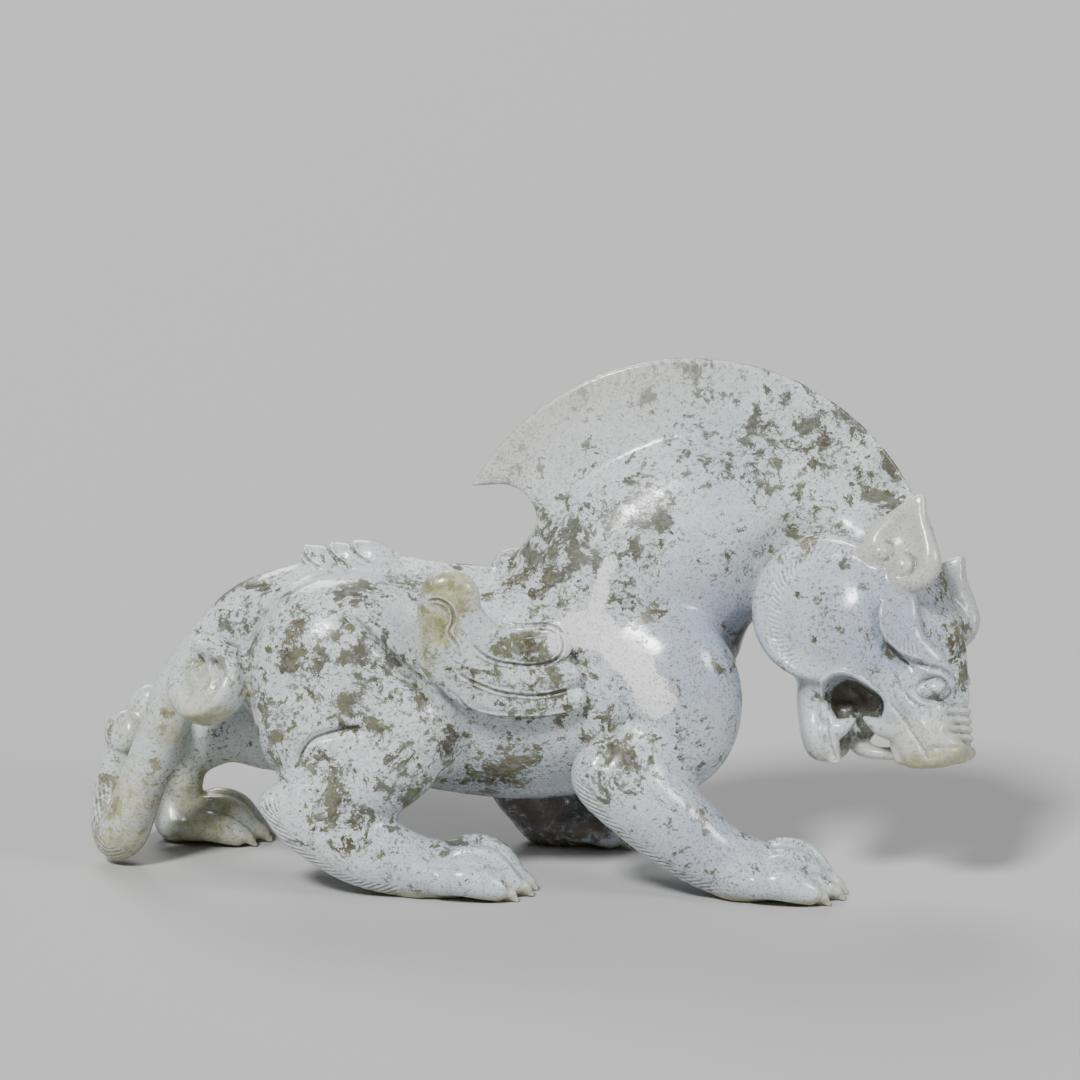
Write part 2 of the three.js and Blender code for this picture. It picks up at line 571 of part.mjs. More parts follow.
function polygonise(low, high) {
  const counts = low.map((x, k) => Math.ceil((high[k] - x) / CELL) + 1);
  const [nx, ny, nz] = counts;
  const index = (i, j, k) => (k * ny + j) * nx + i;
  const values = new Float32Array(nx * ny * nz).fill(1e3);
  const BLOCK = 8;
  for (let bk = 0; bk < nz; bk += BLOCK)
    for (let bj = 0; bj < ny; bj += BLOCK)
      for (let bi = 0; bi < nx; bi += BLOCK) {
        const from = [bi, bj, bk].map((n, k) => low[k] + n * CELL);
        const near = forms.filter((form) =>
          from.every((x, k) => form.low[k] <= x + BLOCK * CELL && form.high[k] >= x));
        if (!near.length) continue;
        for (let k = bk; k < Math.min(bk + BLOCK, nz); k++)
          for (let j = bj; j < Math.min(bj + BLOCK, ny); j++)
            for (let i = bi; i < Math.min(bi + BLOCK, nx); i++)
              values[index(i, j, k)] = fieldOf(near, low[0] + i * CELL, low[1] + j * CELL, low[2] + k * CELL);
      }

  // Corners and edges of a cell in the order that the tables use
  const corner = [[0, 0, 0], [1, 0, 0], [1, 1, 0], [0, 1, 0], [0, 0, 1], [1, 0, 1], [1, 1, 1], [0, 1, 1]];
  const edge = [
    [0, 1], [1, 2], [2, 3], [3, 0], [4, 5], [5, 6], [6, 7], [7, 4], [0, 4], [1, 5], [2, 6], [3, 7],
  ];
  const points = [], faces = [], made = new Map();
  const vertexOn = (i, j, k, e) => {
    const [a, b] = edge[e].map((c) => index(i + corner[c][0], j + corner[c][1], k + corner[c][2]));
    const key = Math.min(a, b) * 4 + (Math.abs(a - b) === 1 ? 0 : Math.abs(a - b) === nx ? 1 : 2);
    if (made.has(key)) return made.get(key);
    const [ca, cb] = edge[e].map((c) => corner[c]);
    const share = THREE.MathUtils.clamp(values[a] / (values[a] - values[b]), 0.02, 0.98);
    const cell = [i, j, k];
    points.push(low.map((x, n) => x + (cell[n] + ca[n] + share * (cb[n] - ca[n])) * CELL));
    made.set(key, points.length - 1);
    return points.length - 1;
  };
  for (let k = 0; k < nz - 1; k++)
    for (let j = 0; j < ny - 1; j++)
      for (let i = 0; i < nx - 1; i++) {
        let kind = 0;
        for (let c = 0; c < 8; c++) {
          if (values[index(i + corner[c][0], j + corner[c][1], k + corner[c][2])] < 0) kind |= 1 << c;
        }
        if (!edgeTable[kind]) continue;
        for (let t = kind * 16; triTable[t] !== -1; t += 3) {
          faces.push([0, 2, 1].map((n) => vertexOn(i, j, k, triTable[t + n])));
        }
      }
  return { points, faces };
}

// Edge collapse by quadric error, which keeps facets small where the form is fine

function simplify({ points, faces }, target) {
  const quadrics = points.map(() => new Float64Array(10));
  const around = points.map(() => new Set());
  const alive = faces.map(() => true);
  const edges1 = new THREE.Vector3(), edges2 = new THREE.Vector3(), normal = new THREE.Vector3();
  const normalOf = (a, b, c) => {
    edges1.set(b[0] - a[0], b[1] - a[1], b[2] - a[2]);
    edges2.set(c[0] - a[0], c[1] - a[1], c[2] - a[2]);
    return normal.crossVectors(edges1, edges2);
  };
  faces.forEach((face, f) => {
    const [a, b, c] = face.map((v) => points[v]);
    const n = normalOf(a, b, c);
    const area = n.length();
    n.normalize();
    const d = -(n.x * a[0] + n.y * a[1] + n.z * a[2]);
    const row = [n.x, n.y, n.z, d];
    for (const v of face) {
      around[v].add(f);
      let q = 0;
      for (let i = 0; i < 4; i++) for (let j = i; j < 4; j++) quadrics[v][q++] += area * row[i] * row[j];
    }
  });
  const errorAt = (q, [x, y, z]) =>
    q[0] * x * x + 2 * q[1] * x * y + 2 * q[2] * x * z + 2 * q[3] * x + q[4] * y * y +
    2 * q[5] * y * z + 2 * q[6] * y + q[7] * z * z + 2 * q[8] * z + q[9];
  const bestPlace = (u, v) => {
    const q = quadrics[u].map((x, i) => x + quadrics[v][i]);
    const m = new THREE.Matrix3().set(q[0], q[1], q[2], q[1], q[4], q[5], q[2], q[5], q[7]);
    const middle = points[u].map((x, i) => (x + points[v][i]) / 2);
    const places = [points[u], points[v], middle];
    if (Math.abs(m.determinant()) > 1e-4) {
      const p = new THREE.Vector3(-q[3], -q[6], -q[8]).applyMatrix3(m.invert());
      const span = Math.hypot(...points[u].map((x, i) => x - points[v][i]));
      const away = Math.hypot(p.x - middle[0], p.y - middle[1], p.z - middle[2]);
      if (away < 2 * span) places.push([p.x, p.y, p.z]);
    }
    const costed = places.map((place) => ({ place, cost: errorAt(q, place) }));
    return costed.reduce((a, b) => (a.cost <= b.cost ? a : b));
  };

  // A heap of edges, cheapest first. An entry is stale once either end has moved.
  const heap = [], moved = new Uint32Array(points.length);
  const push = (entry) => {
    let i = heap.push(entry) - 1;
    while (i > 0) {
      const up = (i - 1) >> 1;
      if (heap[up].cost <= heap[i].cost) break;
      [heap[up], heap[i]] = [heap[i], heap[up]];
      i = up;
    }
  };
  const pop = () => {
    const top = heap[0], last = heap.pop();
    if (heap.length) {
      heap[0] = last;
      for (let i = 0; ;) {
        const l = 2 * i + 1, r = l + 1;
        let least = i;
        if (l < heap.length && heap[l].cost < heap[least].cost) least = l;
        if (r < heap.length && heap[r].cost < heap[least].cost) least = r;
        if (least === i) break;
        [heap[least], heap[i]] = [heap[i], heap[least]];
        i = least;
      }
    }
    return top;
  };
  const pushEdge = (u, v) => {
    const span = Math.hypot(...points[u].map((x, i) => x - points[v][i]));
    const { place, cost } = bestPlace(u, v);
    push({ u, v, place, cost: cost + 1e-5 * span * span, stamp: moved[u] + moved[v] });
  };
  const neighbours = (v) => {
    const found = new Set();
    for (const f of around[v]) for (const w of faces[f]) if (w !== v) found.add(w);
    return found;
  };
  points.forEach((_, u) => {
    for (const v of neighbours(u)) if (u < v) pushEdge(u, v);
  });

  const turnsOver = (v, other, place) => {
    for (const f of around[v]) {
      const face = faces[f];
      if (face.includes(other)) continue;
      const before = normalOf(...face.map((w) => points[w])).clone().normalize();
      const after = normalOf(...face.map((w) => (w === v ? place : points[w])));
      if (after.length() < 1e-4 || after.normalize().dot(before) < 0.3) return true;
    }
    return false;
  };
  let left = faces.length;
  while (left > target && heap.length) {
    const { u, v, place, stamp } = pop();
    if (stamp !== moved[u] + moved[v] || !around[u].size || !around[v].size) continue;
    const nearU = neighbours(u), nearV = neighbours(v);
    if (!nearU.has(v)) continue;
    if ([...nearU].filter((w) => nearV.has(w)).length !== 2) continue;
    if (turnsOver(u, v, place) || turnsOver(v, u, place)) continue;
    for (const f of [...around[v]]) {
      if (faces[f].includes(u)) {
        alive[f] = false;
        left--;
        for (const w of faces[f]) around[w].delete(f);
      } else {
        faces[f] = faces[f].map((w) => (w === v ? u : w));
        around[u].add(f);
      }
    }
    around[v].clear();
    points[u] = place;
    quadrics[u] = quadrics[u].map((x, i) => x + quadrics[v][i]);
    moved[u] += 1;
    moved[v] += 1;
    for (const w of neighbours(u)) {
      moved[w] += 1;
    }
    for (const w of neighbours(u)) {
      pushEdge(u, w);
      for (const x of neighbours(w)) if (x !== u) pushEdge(w, x);
    }
  }
  const kept = faces.filter((_, f) => alive[f]);
  const number = new Map();
  const packed = [];
  for (const v of kept.flat()) {
    if (!number.has(v)) number.set(v, packed.push(points[v]) - 1);
  }
  return { points: packed, faces: kept.map((face) => face.map((v) => number.get(v))) };
}

trunk();
neck();
haunches();
shoulders();
crest();
spine();
tail();
nearHindLeg();
farHindLeg();
nearForeleg();
farForeleg();
flankLines();
wings();
skull();
face();
jaws();
brows();
underFace();
ears();

const carved = simplify(polygonise([-98, -40, -4], [98, 40, 112]), FACETS);

const wasm = await Module();
wasm.setup();

function solidOf(positions, indices) {
  return new wasm.Manifold(new wasm.Mesh({ numProp: 3, vertProperties: positions, triVerts: indices }));
}

const ground = new THREE.BoxGeometry(400, 400, 20).translate(0, 0, -10);
const groundBox = (() => {
  const corners = new Map(), positions = [], indices = [];
  const p = ground.attributes.position;
  for (const i of ground.index.array) {
    const key = [p.getX(i), p.getY(i), p.getZ(i)].join();
    if (!corners.has(key)) corners.set(key, positions.push(p.getX(i), p.getY(i), p.getZ(i)) / 3 - 1);
    indices.push(corners.get(key));
  }
  return solidOf(new Float32Array(positions), new Uint32Array(indices));
})();
const beast = solidOf(new Float32Array(carved.points.flat()), new Uint32Array(carved.faces.flat()))
  .subtract(groundBox);

const drawn = beast.getMesh();
const geometry = new THREE.BufferGeometry()
  .setAttribute('position', new THREE.BufferAttribute(drawn.vertProperties, 3))
  .setIndex(new THREE.BufferAttribute(drawn.triVerts, 1))
  .translate(...CENTRE_SHIFT);
geometry.computeVertexNormals();

const jade = new THREE.MeshStandardMaterial({ color: 0xc3cad0, roughness: 0.28, metalness: 0 });
const statue = new THREE.Mesh(geometry, jade);
statue.name = 'jade_beast';

const group = new THREE.Group();
group.add(statue);
export default group;
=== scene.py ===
import functools
import math

import bpy
import numpy as np
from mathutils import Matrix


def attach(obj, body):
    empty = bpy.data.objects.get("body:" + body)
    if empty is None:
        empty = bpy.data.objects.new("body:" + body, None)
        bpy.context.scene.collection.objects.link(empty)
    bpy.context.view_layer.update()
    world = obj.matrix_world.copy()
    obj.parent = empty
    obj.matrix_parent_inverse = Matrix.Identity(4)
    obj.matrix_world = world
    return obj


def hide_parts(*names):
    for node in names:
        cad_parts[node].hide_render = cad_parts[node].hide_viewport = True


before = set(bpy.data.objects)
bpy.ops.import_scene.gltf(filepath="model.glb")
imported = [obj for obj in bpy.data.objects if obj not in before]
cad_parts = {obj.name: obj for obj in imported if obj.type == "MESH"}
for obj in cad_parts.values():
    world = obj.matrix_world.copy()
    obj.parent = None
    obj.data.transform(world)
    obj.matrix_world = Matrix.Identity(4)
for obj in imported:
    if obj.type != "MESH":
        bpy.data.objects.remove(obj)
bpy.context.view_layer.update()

import openvdb
from mathutils import Vector

# Camera
# A long lens 1 m away, a little above the beast's back and square to its right side,
# as in the photograph.
AIM = Vector((0.0016, -0.00016, 0.0695))
DISTANCE = 1.0
LOOK_DOWN = math.radians(11)
bpy.ops.object.camera_add(
    location=AIM + DISTANCE * Vector((0, -math.cos(LOOK_DOWN), math.sin(LOOK_DOWN))),
    rotation=(math.pi / 2 - LOOK_DOWN, 0, 0),
)
camera = bpy.context.object
camera.data.sensor_width = 36
camera.data.lens = 162.7
camera.data.clip_start = 0.01
bpy.context.scene.camera = camera

# Body
# One block of jade, rubbed down to rounded masses that run into each other. Each mass
# is an egg or a swept limb in millimetres, and all blend into one field of distances,
# negative inside the stone, because a primitive can't give a carving its soft joins.
WORLD_AXES = np.eye(3)
FAR = 1e3
# From the places drawn here to the frame, whose origin is under the box's middle
CENTRE_SHIFT = np.array([-1.197, -0.156, 0.0])
forms = []


def add_form(low, high, distance, blend=1.0, cut=False):
    # A mass joined to the stone or cut out of it. Its distance is asked for the points of
    # a block, and near is that block's low and high corner.
    reach = blend + 1.0
    forms.append({"low": np.asarray(low) - reach, "high": np.asarray(high) + reach,
                  "distance": distance, "blend": blend, "cut": cut})


def round_distance(k0, k1, least):
    # Close to the distance from an egg, where k0 and k1 are the lengths of a point's place
    # divided once and twice by the radii
    return np.where(k1 < 1e-9, -least, k0 * (k0 - 1) / np.maximum(k1, 1e-9))


def egg(centre, radii, axes=WORLD_AXES, **join):
    centre, radii = np.asarray(centre, float), np.asarray(radii, float)

    def distance(p, near):
        q = (p - centre) @ axes.T / radii
        k0, k1 = np.sqrt((q * q).sum(1)), np.sqrt(((q / radii) ** 2).sum(1))
        return round_distance(k0, k1, radii.min())
    add_form(centre - radii.max(), centre + radii.max(), distance, **join)


def smooth_path(stations, steps):
    # An even Catmull-Rom curve through the stations, all columns alike
    s = np.asarray(stations, float)
    s = np.vstack([2 * s[0] - s[1], s, 2 * s[-1] - s[-2]])
    made = []
    for i in range(1, len(s) - 2):
        t = (np.arange(steps) / steps)[:, None]
        a, b, c, d = s[i - 1:i + 3]
        v0, v1 = (c - a) / 2, (d - b) / 2
        made.append((2 * b - 2 * c + v0 + v1) * t ** 3
                    + (3 * c - 3 * b - 2 * v0 - v1) * t ** 2 + v0 * t + b)
    return np.vstack(made + [s[-2][None]])


def limb(stations, flat=1.0, steps=5, side=(0, 1, 0), **join):
    # A strand through stations of x, y, z and radius. Along the side axis its radius is
    # the share flat of that, or the share that a station has as its fifth number.
    rows = [list(s[:4]) + [s[4] if len(s) > 4 else flat] for s in stations]
    path = smooth_path(rows, steps)
    path[:, 3] = np.maximum(path[:, 3], 0.05)
    side = np.asarray(side, float)
    a, b = path[:-1], path[1:]
    reach = (path[:, 3] * np.maximum(1, path[:, 4]))[:, None]
    low_end, high_end = path[:, :3] - reach, path[:, :3] + reach
    low, high = np.minimum(low_end[:-1], low_end[1:]), np.maximum(high_end[:-1], high_end[1:])
    margin = join.get("blend", 1.0) + 1.0

    def distance(p, near):
        use = np.all((low - margin <= near[1]) & (high + margin >= near[0]), axis=1)
        best = np.full(len(p), FAR)
        for s0, s1 in zip(a[use], b[use]):
            e = s1[:3] - s0[:3]
            v = p - s0[:3]
            t = np.clip(v @ e / max(e @ e, 1e-9), 0, 1)
            v = v - t[:, None] * e
            r = s0[3] + t * (s1[3] - s0[3])
            w = r * (s0[4] + t * (s1[4] - s0[4]))
            u2 = (v @ side) ** 2
            w2 = np.maximum((v * v).sum(1) - u2, 0)
            k0 = np.sqrt(w2 / r ** 2 + u2 / w ** 2)
            k1 = np.sqrt(w2 / r ** 4 + u2 / w ** 4)
            best = np.minimum(best, round_distance(k0, k1, np.minimum(r, w)))
        return best
    add_form(low.min(0), high.max(0), distance, **join)


def rounded(across, deep, soft):
    # Distance from a slab out of how far a point is outside its inset outline and faces
    return (np.hypot(np.maximum(across, 0), np.maximum(deep, 0))
            + np.minimum(np.maximum(across, deep), 0) - soft)


def disc(centre, axis, radius, half, soft, **join):
    # A round slab from -half to half along its axis, its edge rounded to the radius soft
    centre, axis = np.asarray(centre, float), np.asarray(axis, float)
    axis = axis / np.linalg.norm(axis)

    def distance(p, near):
        d = p - centre
        along = d @ axis
        across = np.sqrt(np.maximum((d * d).sum(1) - along ** 2, 0)) - radius + soft
        return rounded(across, np.abs(along) - half + soft, soft)
    reach = math.hypot(radius, half)
    add_form(centre - reach, centre + reach, distance, **join)


def near_line(p, line):
    # How far points of a plane are from a line, how far along it they lie, how long it is
    # and on which side of it they are
    best, along, walked, side = np.full(len(p), 1e9), np.zeros(len(p)), 0.0, np.zeros(len(p))
    for a, b in zip(line[:-1], line[1:]):
        e = b - a
        length = math.hypot(*e)
        v = p - a
        t = np.clip(v @ e / length ** 2, 0, 1)
        apart = np.hypot(*(v - t[:, None] * e).T)
        closer = apart < best
        best = np.where(closer, apart, best)
        along = np.where(closer, walked + t * length, along)
        side = np.where(closer, np.sign(e[0] * v[:, 1] - e[1] * v[:, 0]), side)
        walked += length
    return best, along, walked, side


OUTSIDE = 60
FINE_WIDTH = 0.6


def groove(points, line, width, depth, step):
    # How deep a cut along a line is at points of its plane. It runs out at both ends and is
    # rounded in section, or a step: steep on one side and running out on the other.
    apart, along, length, side = near_line(points, line)
    share = along / length
    fade = np.minimum(1, 7 * share * (1 - share))
    spread = np.where(side * step > 0, width * 3.2, width * 0.6) if step else width
    return depth * fade * np.exp(-(apart / spread) ** 2)


def groove_reach(width, step):
    return (8 if step else 3) * width


def add_groove(low, high, carve, width):
    forms.append({"low": np.array(low), "high": np.array(high), "carve": carve,
                  "fine": width < FINE_WIDTH})


def carved_line(points, side, width, depth, inner=6.0, step=0):
    # A groove cut into one flank, drawn in side view
    line = smooth_path(points, 4)
    reach = groove_reach(width, step)

    def carve(p, near):
        cut = groove(p[:, [0, 2]], line, width, depth, step)
        return np.where(p[:, 1] * side < inner, 0, cut)
    y_range = (inner, OUTSIDE) if side > 0 else (-OUTSIDE, -inner)
    add_groove([line[:, 0].min() - reach, y_range[0], line[:, 1].min() - reach],
               [line[:, 0].max() + reach, y_range[1], line[:, 1].max() + reach], carve, width)


def edged_line(points, side, inner, width, bead):
    # A fine groove between two raised edges
    line = np.array(points, float)
    across = np.gradient(line, axis=0)
    across = np.stack([-across[:, 1], across[:, 0]], 1) / np.linalg.norm(across, axis=1)[:, None]
    carved_line(line, side, width, 0.2, inner)
    for offset in (-1, 1):
        carved_line(line + across * offset * 2.1 * width, side, width * 0.9, -bead, inner)


limb([
    [-50, 3, 45.5, 14, 0.95], [-36, 2.5, 42.6, 20.6, 0.86], [-18, 1.5, 40, 22.8, 0.82],
    [2, 0.5, 38.8, 23.4, 0.84], [16, 0, 42, 22.5, 0.86],
], blend=5)
limb([
    [15, 0, 54, 20.5, 0.84], [24, 0, 64.5, 21.4, 0.77], [36, 0, 71, 21, 0.7],
    [49, -0.5, 74.6, 15.6, 0.66], [60, -2.5, 69.5, 13, 0.62], [67, -6, 63, 11, 0.8],
], blend=5)
egg([20.5, 0, 46], [16.5, 17, 19], blend=5)
egg([35.5, 0, 50], [9, 9, 10], blend=4)
for side, y in ((-1, -10.5), (1, 15)):
    egg([-37.6, y, 45.4], [19.4, 14.5, 18.4], blend=6)
    egg([-27.2, y + 3.5 * side, 34], [14.2, 11.5, 13.8], blend=5)
for side in (-1, 1):
    egg([29.3, 14.6 * side, 38.8], [14.6, 10.6, 18.8], blend=5)

# Crest
# A thin arched fin of the same stone on the nape, with a hooked rear tip and a round
# notch under it, rubbed thinner towards its rim.
CREST_CENTRE = (33.5, 56.2)
CREST_RADIUS = 51
NOTCH_CENTRE = (-5.4, 73.7)
NOTCH_RADIUS = 7.6


def smooth_min(a, b, k):
    h = np.maximum(k - np.abs(a - b), 0) / k
    return np.minimum(a, b) - h * h * k / 4


def soft_step(x, low, high):
    t = np.clip((x - low) / (high - low), 0, 1)
    return t * t * (3 - 2 * t)


def crest_distance(p, near):
    x, y, z = p.T
    nx, nz = NOTCH_CENTRE
    rim = np.hypot(x - CREST_CENTRE[0], z - CREST_CENTRE[1]) - CREST_RADIUS
    notch = NOTCH_RADIUS - np.hypot(x - nx, z - nz)
    under_tip = np.minimum(nx - x, nz + NOTCH_RADIUS + 0.08 * (x - nx) - z)
    outline = np.maximum.reduce([rim, notch, under_tip, 60 - z])
    face = np.abs(y) - (1.2 + 1.8 * soft_step(-rim, 0, 18))
    return -smooth_min(-outline, -face, 0.9)


add_form(
    [CREST_CENTRE[0] - CREST_RADIUS, -3, 60],
    [CREST_CENTRE[0] + CREST_RADIUS, 3, CREST_CENTRE[1] + CREST_RADIUS],
    crest_distance, blend=2,
)

# Spine
# A low ridge along the back that ends in three overlapping scales over the rump, and a
# small curl at the foot of the crest's notch.
limb([[-34, 2, 65.4, 3.4], [-22, 1.6, 61.8, 3.4], [-9, 1, 60.4, 3.2]], flat=0.8, blend=3)
for x, z in ((-46.2, 68.2), (-40.8, 68.8), (-36, 69.2)):
    limb([
        [x + 8, 2.2, z - 6, 3.6], [x + 4.6, 2.3, z - 3.6, 3.3], [x + 2.2, 2.3, z - 2.1, 2],
        [x + 1.3, 2.3, z - 1, 1],
    ], flat=1.25, blend=0.5)
    scale_rim = [[x - 0.2, z - 0.2], [x + 0.6, z - 1.8], [x + 2.2, z - 3.2], [x + 4.6, z - 4.4]]
    for side in (-1, 1):
        edged_line(scale_rim, side, -1, 0.3, 0.3)
egg([4.4, 0.3, 64.2], [3.6, 2.6, 2.6], blend=0.8)

# Tail
# It leaves the rump as a strong strand, drops to the ground, turns back up behind itself
# and ends in scrolls. A larger scroll lies against its near side.
SCROLL = ([-64.8, -11.5, 42], [-0.5, -0.67, 0.55])


def scroll_mark(centre, axis, half, marks, radius):
    # A cut in the scroll's face, through points given as seen from the beast's right
    n = np.array(axis) / np.linalg.norm(axis)
    face = np.array(centre) + n * half
    cut = []
    for dx, dz in marks:
        cut.append([face[0] + dx, face[1] - (n[0] * dx + n[2] * dz) / n[1], face[2] + dz, radius])
    limb(cut, steps=4, cut=True, blend=0.7)


limb([
    [-44, 2.4, 57, 8], [-56, 2.2, 53.6, 7], [-64.4, 1.4, 46.4, 6.4], [-71.2, 0, 38.5, 5.6],
    [-74.8, -0.6, 30, 5], [-79.6, 0, 18, 4.9], [-83.2, 1.6, 8.6, 5.2], [-85.4, 5.6, 6, 5],
    [-86.4, 10, 11, 4.6], [-85.2, 12.5, 19, 4.2], [-83.4, 13.4, 25, 4],
], blend=2)
disc(*SCROLL, 8.4, 3.8, 1.7, blend=1)
limb([[-66, -13, 50.6, 2], [-62.4, -12.6, 49, 2.6], [-59, -11.4, 45.4, 2.6]], blend=2.6)
scroll_mark(*SCROLL, 4, [(0.1, 1.8), (0.4, 1)], 1.6)
scroll_mark(*SCROLL, 4, [(1.6, 5.6), (1.1, 4.2), (0.6, 2.8), (0.2, 1.8)], 1)
scroll_mark(*SCROLL, 4, [(-2.6, 4), (-3.6, 2.4), (-3.9, 0.6), (-3.2, -1.6), (-2, -3)], 1.2)
scroll_mark(*SCROLL, 4, [(3.6, 2.6), (4.2, 0.6), (3.4, -1.8), (1.4, -4.2), (-0.6, -5.8)], 0.9)
egg([-67, -5.5, 40.5], [5.5, 6, 6], blend=2)
disc([-78.2, 13.8, 30.6], [-0.2, -0.9, 0.35], 5.4, 4, 3, blend=0.8)
disc([-83.4, 11.8, 26.2], [-0.5, -0.75, 0.4], 4.7, 3.8, 3, blend=0.5)

# Legs
# Four bent legs, each caught at another point of a slow stride, thick at the elbow or
# hock and running down to broad paws.
egg([-44, -14.5, 34], [10.6, 10, 12.6], blend=5)
limb([
    [-25.6, -16.5, 33, 11], [-31.6, -18, 25.6, 10.6], [-42, -19.5, 20.5, 7.6],
], blend=4, flat=0.88)
limb([
    [-50.6, -20, 18.8, 3.7], [-44, -20, 15.6, 7], [-34.4, -20, 10.4, 8], [-25, -20, 6.4, 6.8],
    [-17, -19.5, 4.6, 5.6],
], blend=3, flat=0.9)
limb([[-36, 18, 38, 14], [-33, 20, 28, 12], [-41, 21, 24.5, 9.5]], blend=3, flat=0.8)
limb([
    [-40, 21, 25, 9.4], [-52, 22, 25.2, 9.6], [-63, 23, 24.4, 7.2], [-71.8, 24, 18, 5.2],
    [-74.4, 24, 9, 5.2],
], blend=3, flat=0.85)
limb([[31, -14.5, 31, 9], [24.6, -18.2, 30, 8.3], [17.6, -21.2, 25.6, 6.6]], blend=1, flat=0.95)
limb([
    [13.4, -22, 25.3, 4.3], [18.8, -22, 24.2, 8.6], [28.4, -22, 16.2, 8.7], [37, -22.3, 9.2, 7.5],
    [45, -22.5, 5.6, 6.4],
], blend=3, flat=0.86)
limb([[28, 17, 36, 12], [12, 19.5, 27, 10.2], [-1, 20.5, 20.5, 8.6]], blend=3, flat=0.85)
limb([[-3.6, 21, 18, 6.6], [1.5, 21.5, 11.5, 8], [8, 22, 6, 6.6]], blend=3, flat=0.9)

# Paws
# Each is a low pad with four soft arched toes side by side, the outer ones set back and
# lower, and a short claw on each that curves down to the ground.
claw_tips = []
# How far across the paw each toe lies, how far it stands ahead, and its share of the height
TOES = ((-0.36, -3.2, 0.7), (-0.13, -0.2, 0.95), (0.13, 0.6, 1), (0.36, -2.2, 0.72))


def paw(heel, tip, width, height):
    start, end = np.array([*heel, 0.0]), np.array([*tip, 0.0])
    length = np.linalg.norm(end - start)
    ahead = (end - start) / length
    across = np.array([-ahead[1], ahead[0], 0])

    def at(along, aside, z, r):
        q = start + ahead * along + across * aside
        return [q[0], q[1], z, r]

    limb([
        at(-length * 0.1, 0, height * 0.42, height * 0.42),
        at(length * 0.35, 0, height * 0.42, height * 0.44),
        at(length * 0.62, 0, height * 0.34, height * 0.34),
    ], blend=3, flat=width / height)
    for aside, ahead_by, rise in TOES:
        r = width * (0.178 if abs(aside) > 0.2 else 0.165)
        reach = length + ahead_by
        top = height * rise - r
        limb([
            at(reach * 0.16, aside * width * 0.9, top * 0.8, r * 0.8),
            at(reach * 0.42, aside * width, top, r * 1.06),
            at(reach * 0.72, aside * width, top * 0.86, r * 1.06),
            at(reach * 0.95, aside * width, r * 0.92, r * 0.84),
        ], blend=0.8)
        limb([
            at(reach * 0.93, aside * width, 3.4, 1.9), at(reach + 1.5, aside * width, 2.3, 1.4),
            at(reach + 3.4, aside * width, 0.4, 0.5),
        ], blend=0.5)
        claw_tips.append(at(reach + 2.2, aside * width, 1.2, 0)[:3])


paw([-19, -19.5], [-2, -19.8], 18.5, 11.6)
paw([-73, 24], [-57.5, 24], 16.5, 10.6)
paw([44.6, -22.5], [61, -22.8], 18.5, 11.6)
paw([5, 22], [21.5, 21.6], 17, 11.5)
OUTER_TOE = np.array([
    [45.6, 5.6], [48, 7.2], [51, 7.8], [54.4, 7.5], [57.4, 5.9], [59.4, 3.9], [60.4, 2],
])
INNER_TOE = np.array([
    [47.8, 10.2], [51.3, 11.2], [55.7, 10.6], [58.9, 8.4], [61.8, 5], [63.2, 2.4],
])
for ahead in (0, -63.2):
    carved_line(OUTER_TOE + [ahead, 0], -1, 0.5, 0.8, inner=24, step=1)
    carved_line(INNER_TOE + [ahead, 0], -1, 0.4, 0.4, inner=20)

# Flank carving
# Long shallow grooves that set off the tail's root, the fold before the haunch and the
# muscles of the near thigh and upper foreleg.
FOLD = [[-35.5, 58.6], [-31.4, 54.4], [-26, 49], [-21.2, 44.6], [-16.6, 40.6]]
THIGH = [[-45.4, 27], [-45.2, 30], [-43, 33.2], [-38.6, 34.8], [-34.4, 35.6], [-31, 34.8]]
for side, fold_depth in ((-1, 1.3), (1, 0.7)):
    carved_line([[-49.6, 65], [-52.6, 60.8], [-55.6, 55.6], [-58, 50]], side, 1.5, 1.3)
    carved_line(FOLD, side, 1.2, fold_depth)
carved_line([[-36, 59], [-31.6, 54.6], [-26.2, 49.2], [-21.4, 44.8], [-18, 41.8]], -1, 0.45, 0.5)
carved_line([[-47.6, 63.6], [-50.6, 59.6], [-53.6, 55.2], [-57, 51.4]], -1, 0.6, 0.5)
for width, depth in ((0.9, 1.2), (0.35, 0.4)):
    carved_line(THIGH, -1, width, depth)
carved_line([
    [13.3, 28.6], [15.6, 29.6], [16.9, 32.6], [18.4, 35.6], [21, 37.2], [24.4, 36.8],
], -1, 0.8, 0.8)

# Wings
# Three long feathers lie back on each flank and curl up at their tips. Thin lines part
# them, and the near wing's tip is a curl of clear yellow jade.
# Feathers have x, y, z and radius, and the edges between them x and z.
FEATHERS = [
    [[6.4, 21.4, 51.9, 2.8], [1, 22, 51.7, 3.6], [-5, 22.6, 51.6, 3.9],
     [-9.4, 23.6, 54.4, 4.1], [-12.6, 24.8, 59.4, 4], [-13.8, 25.4, 63.6, 4.2],
     [-17.2, 25.6, 64.2, 3.6], [-19.2, 25.4, 61.2, 2.6]],
    [[8, 21.2, 46, 2.9], [2.4, 21.8, 45.6, 3.8], [-4, 22.4, 45.4, 4], [-10.5, 23.4, 47.6, 4.2],
     [-16, 24.6, 53, 4.6], [-18.2, 25.2, 58, 3.8]],
    [[9.4, 20.4, 40.9, 2.8], [2, 21, 40.4, 3.5], [-6, 21.8, 41.2, 3.8],
     [-12.6, 22.9, 44.6, 3.9], [-18, 24.2, 49.8, 3.6], [-20, 24.8, 55.4, 2.6]],
]
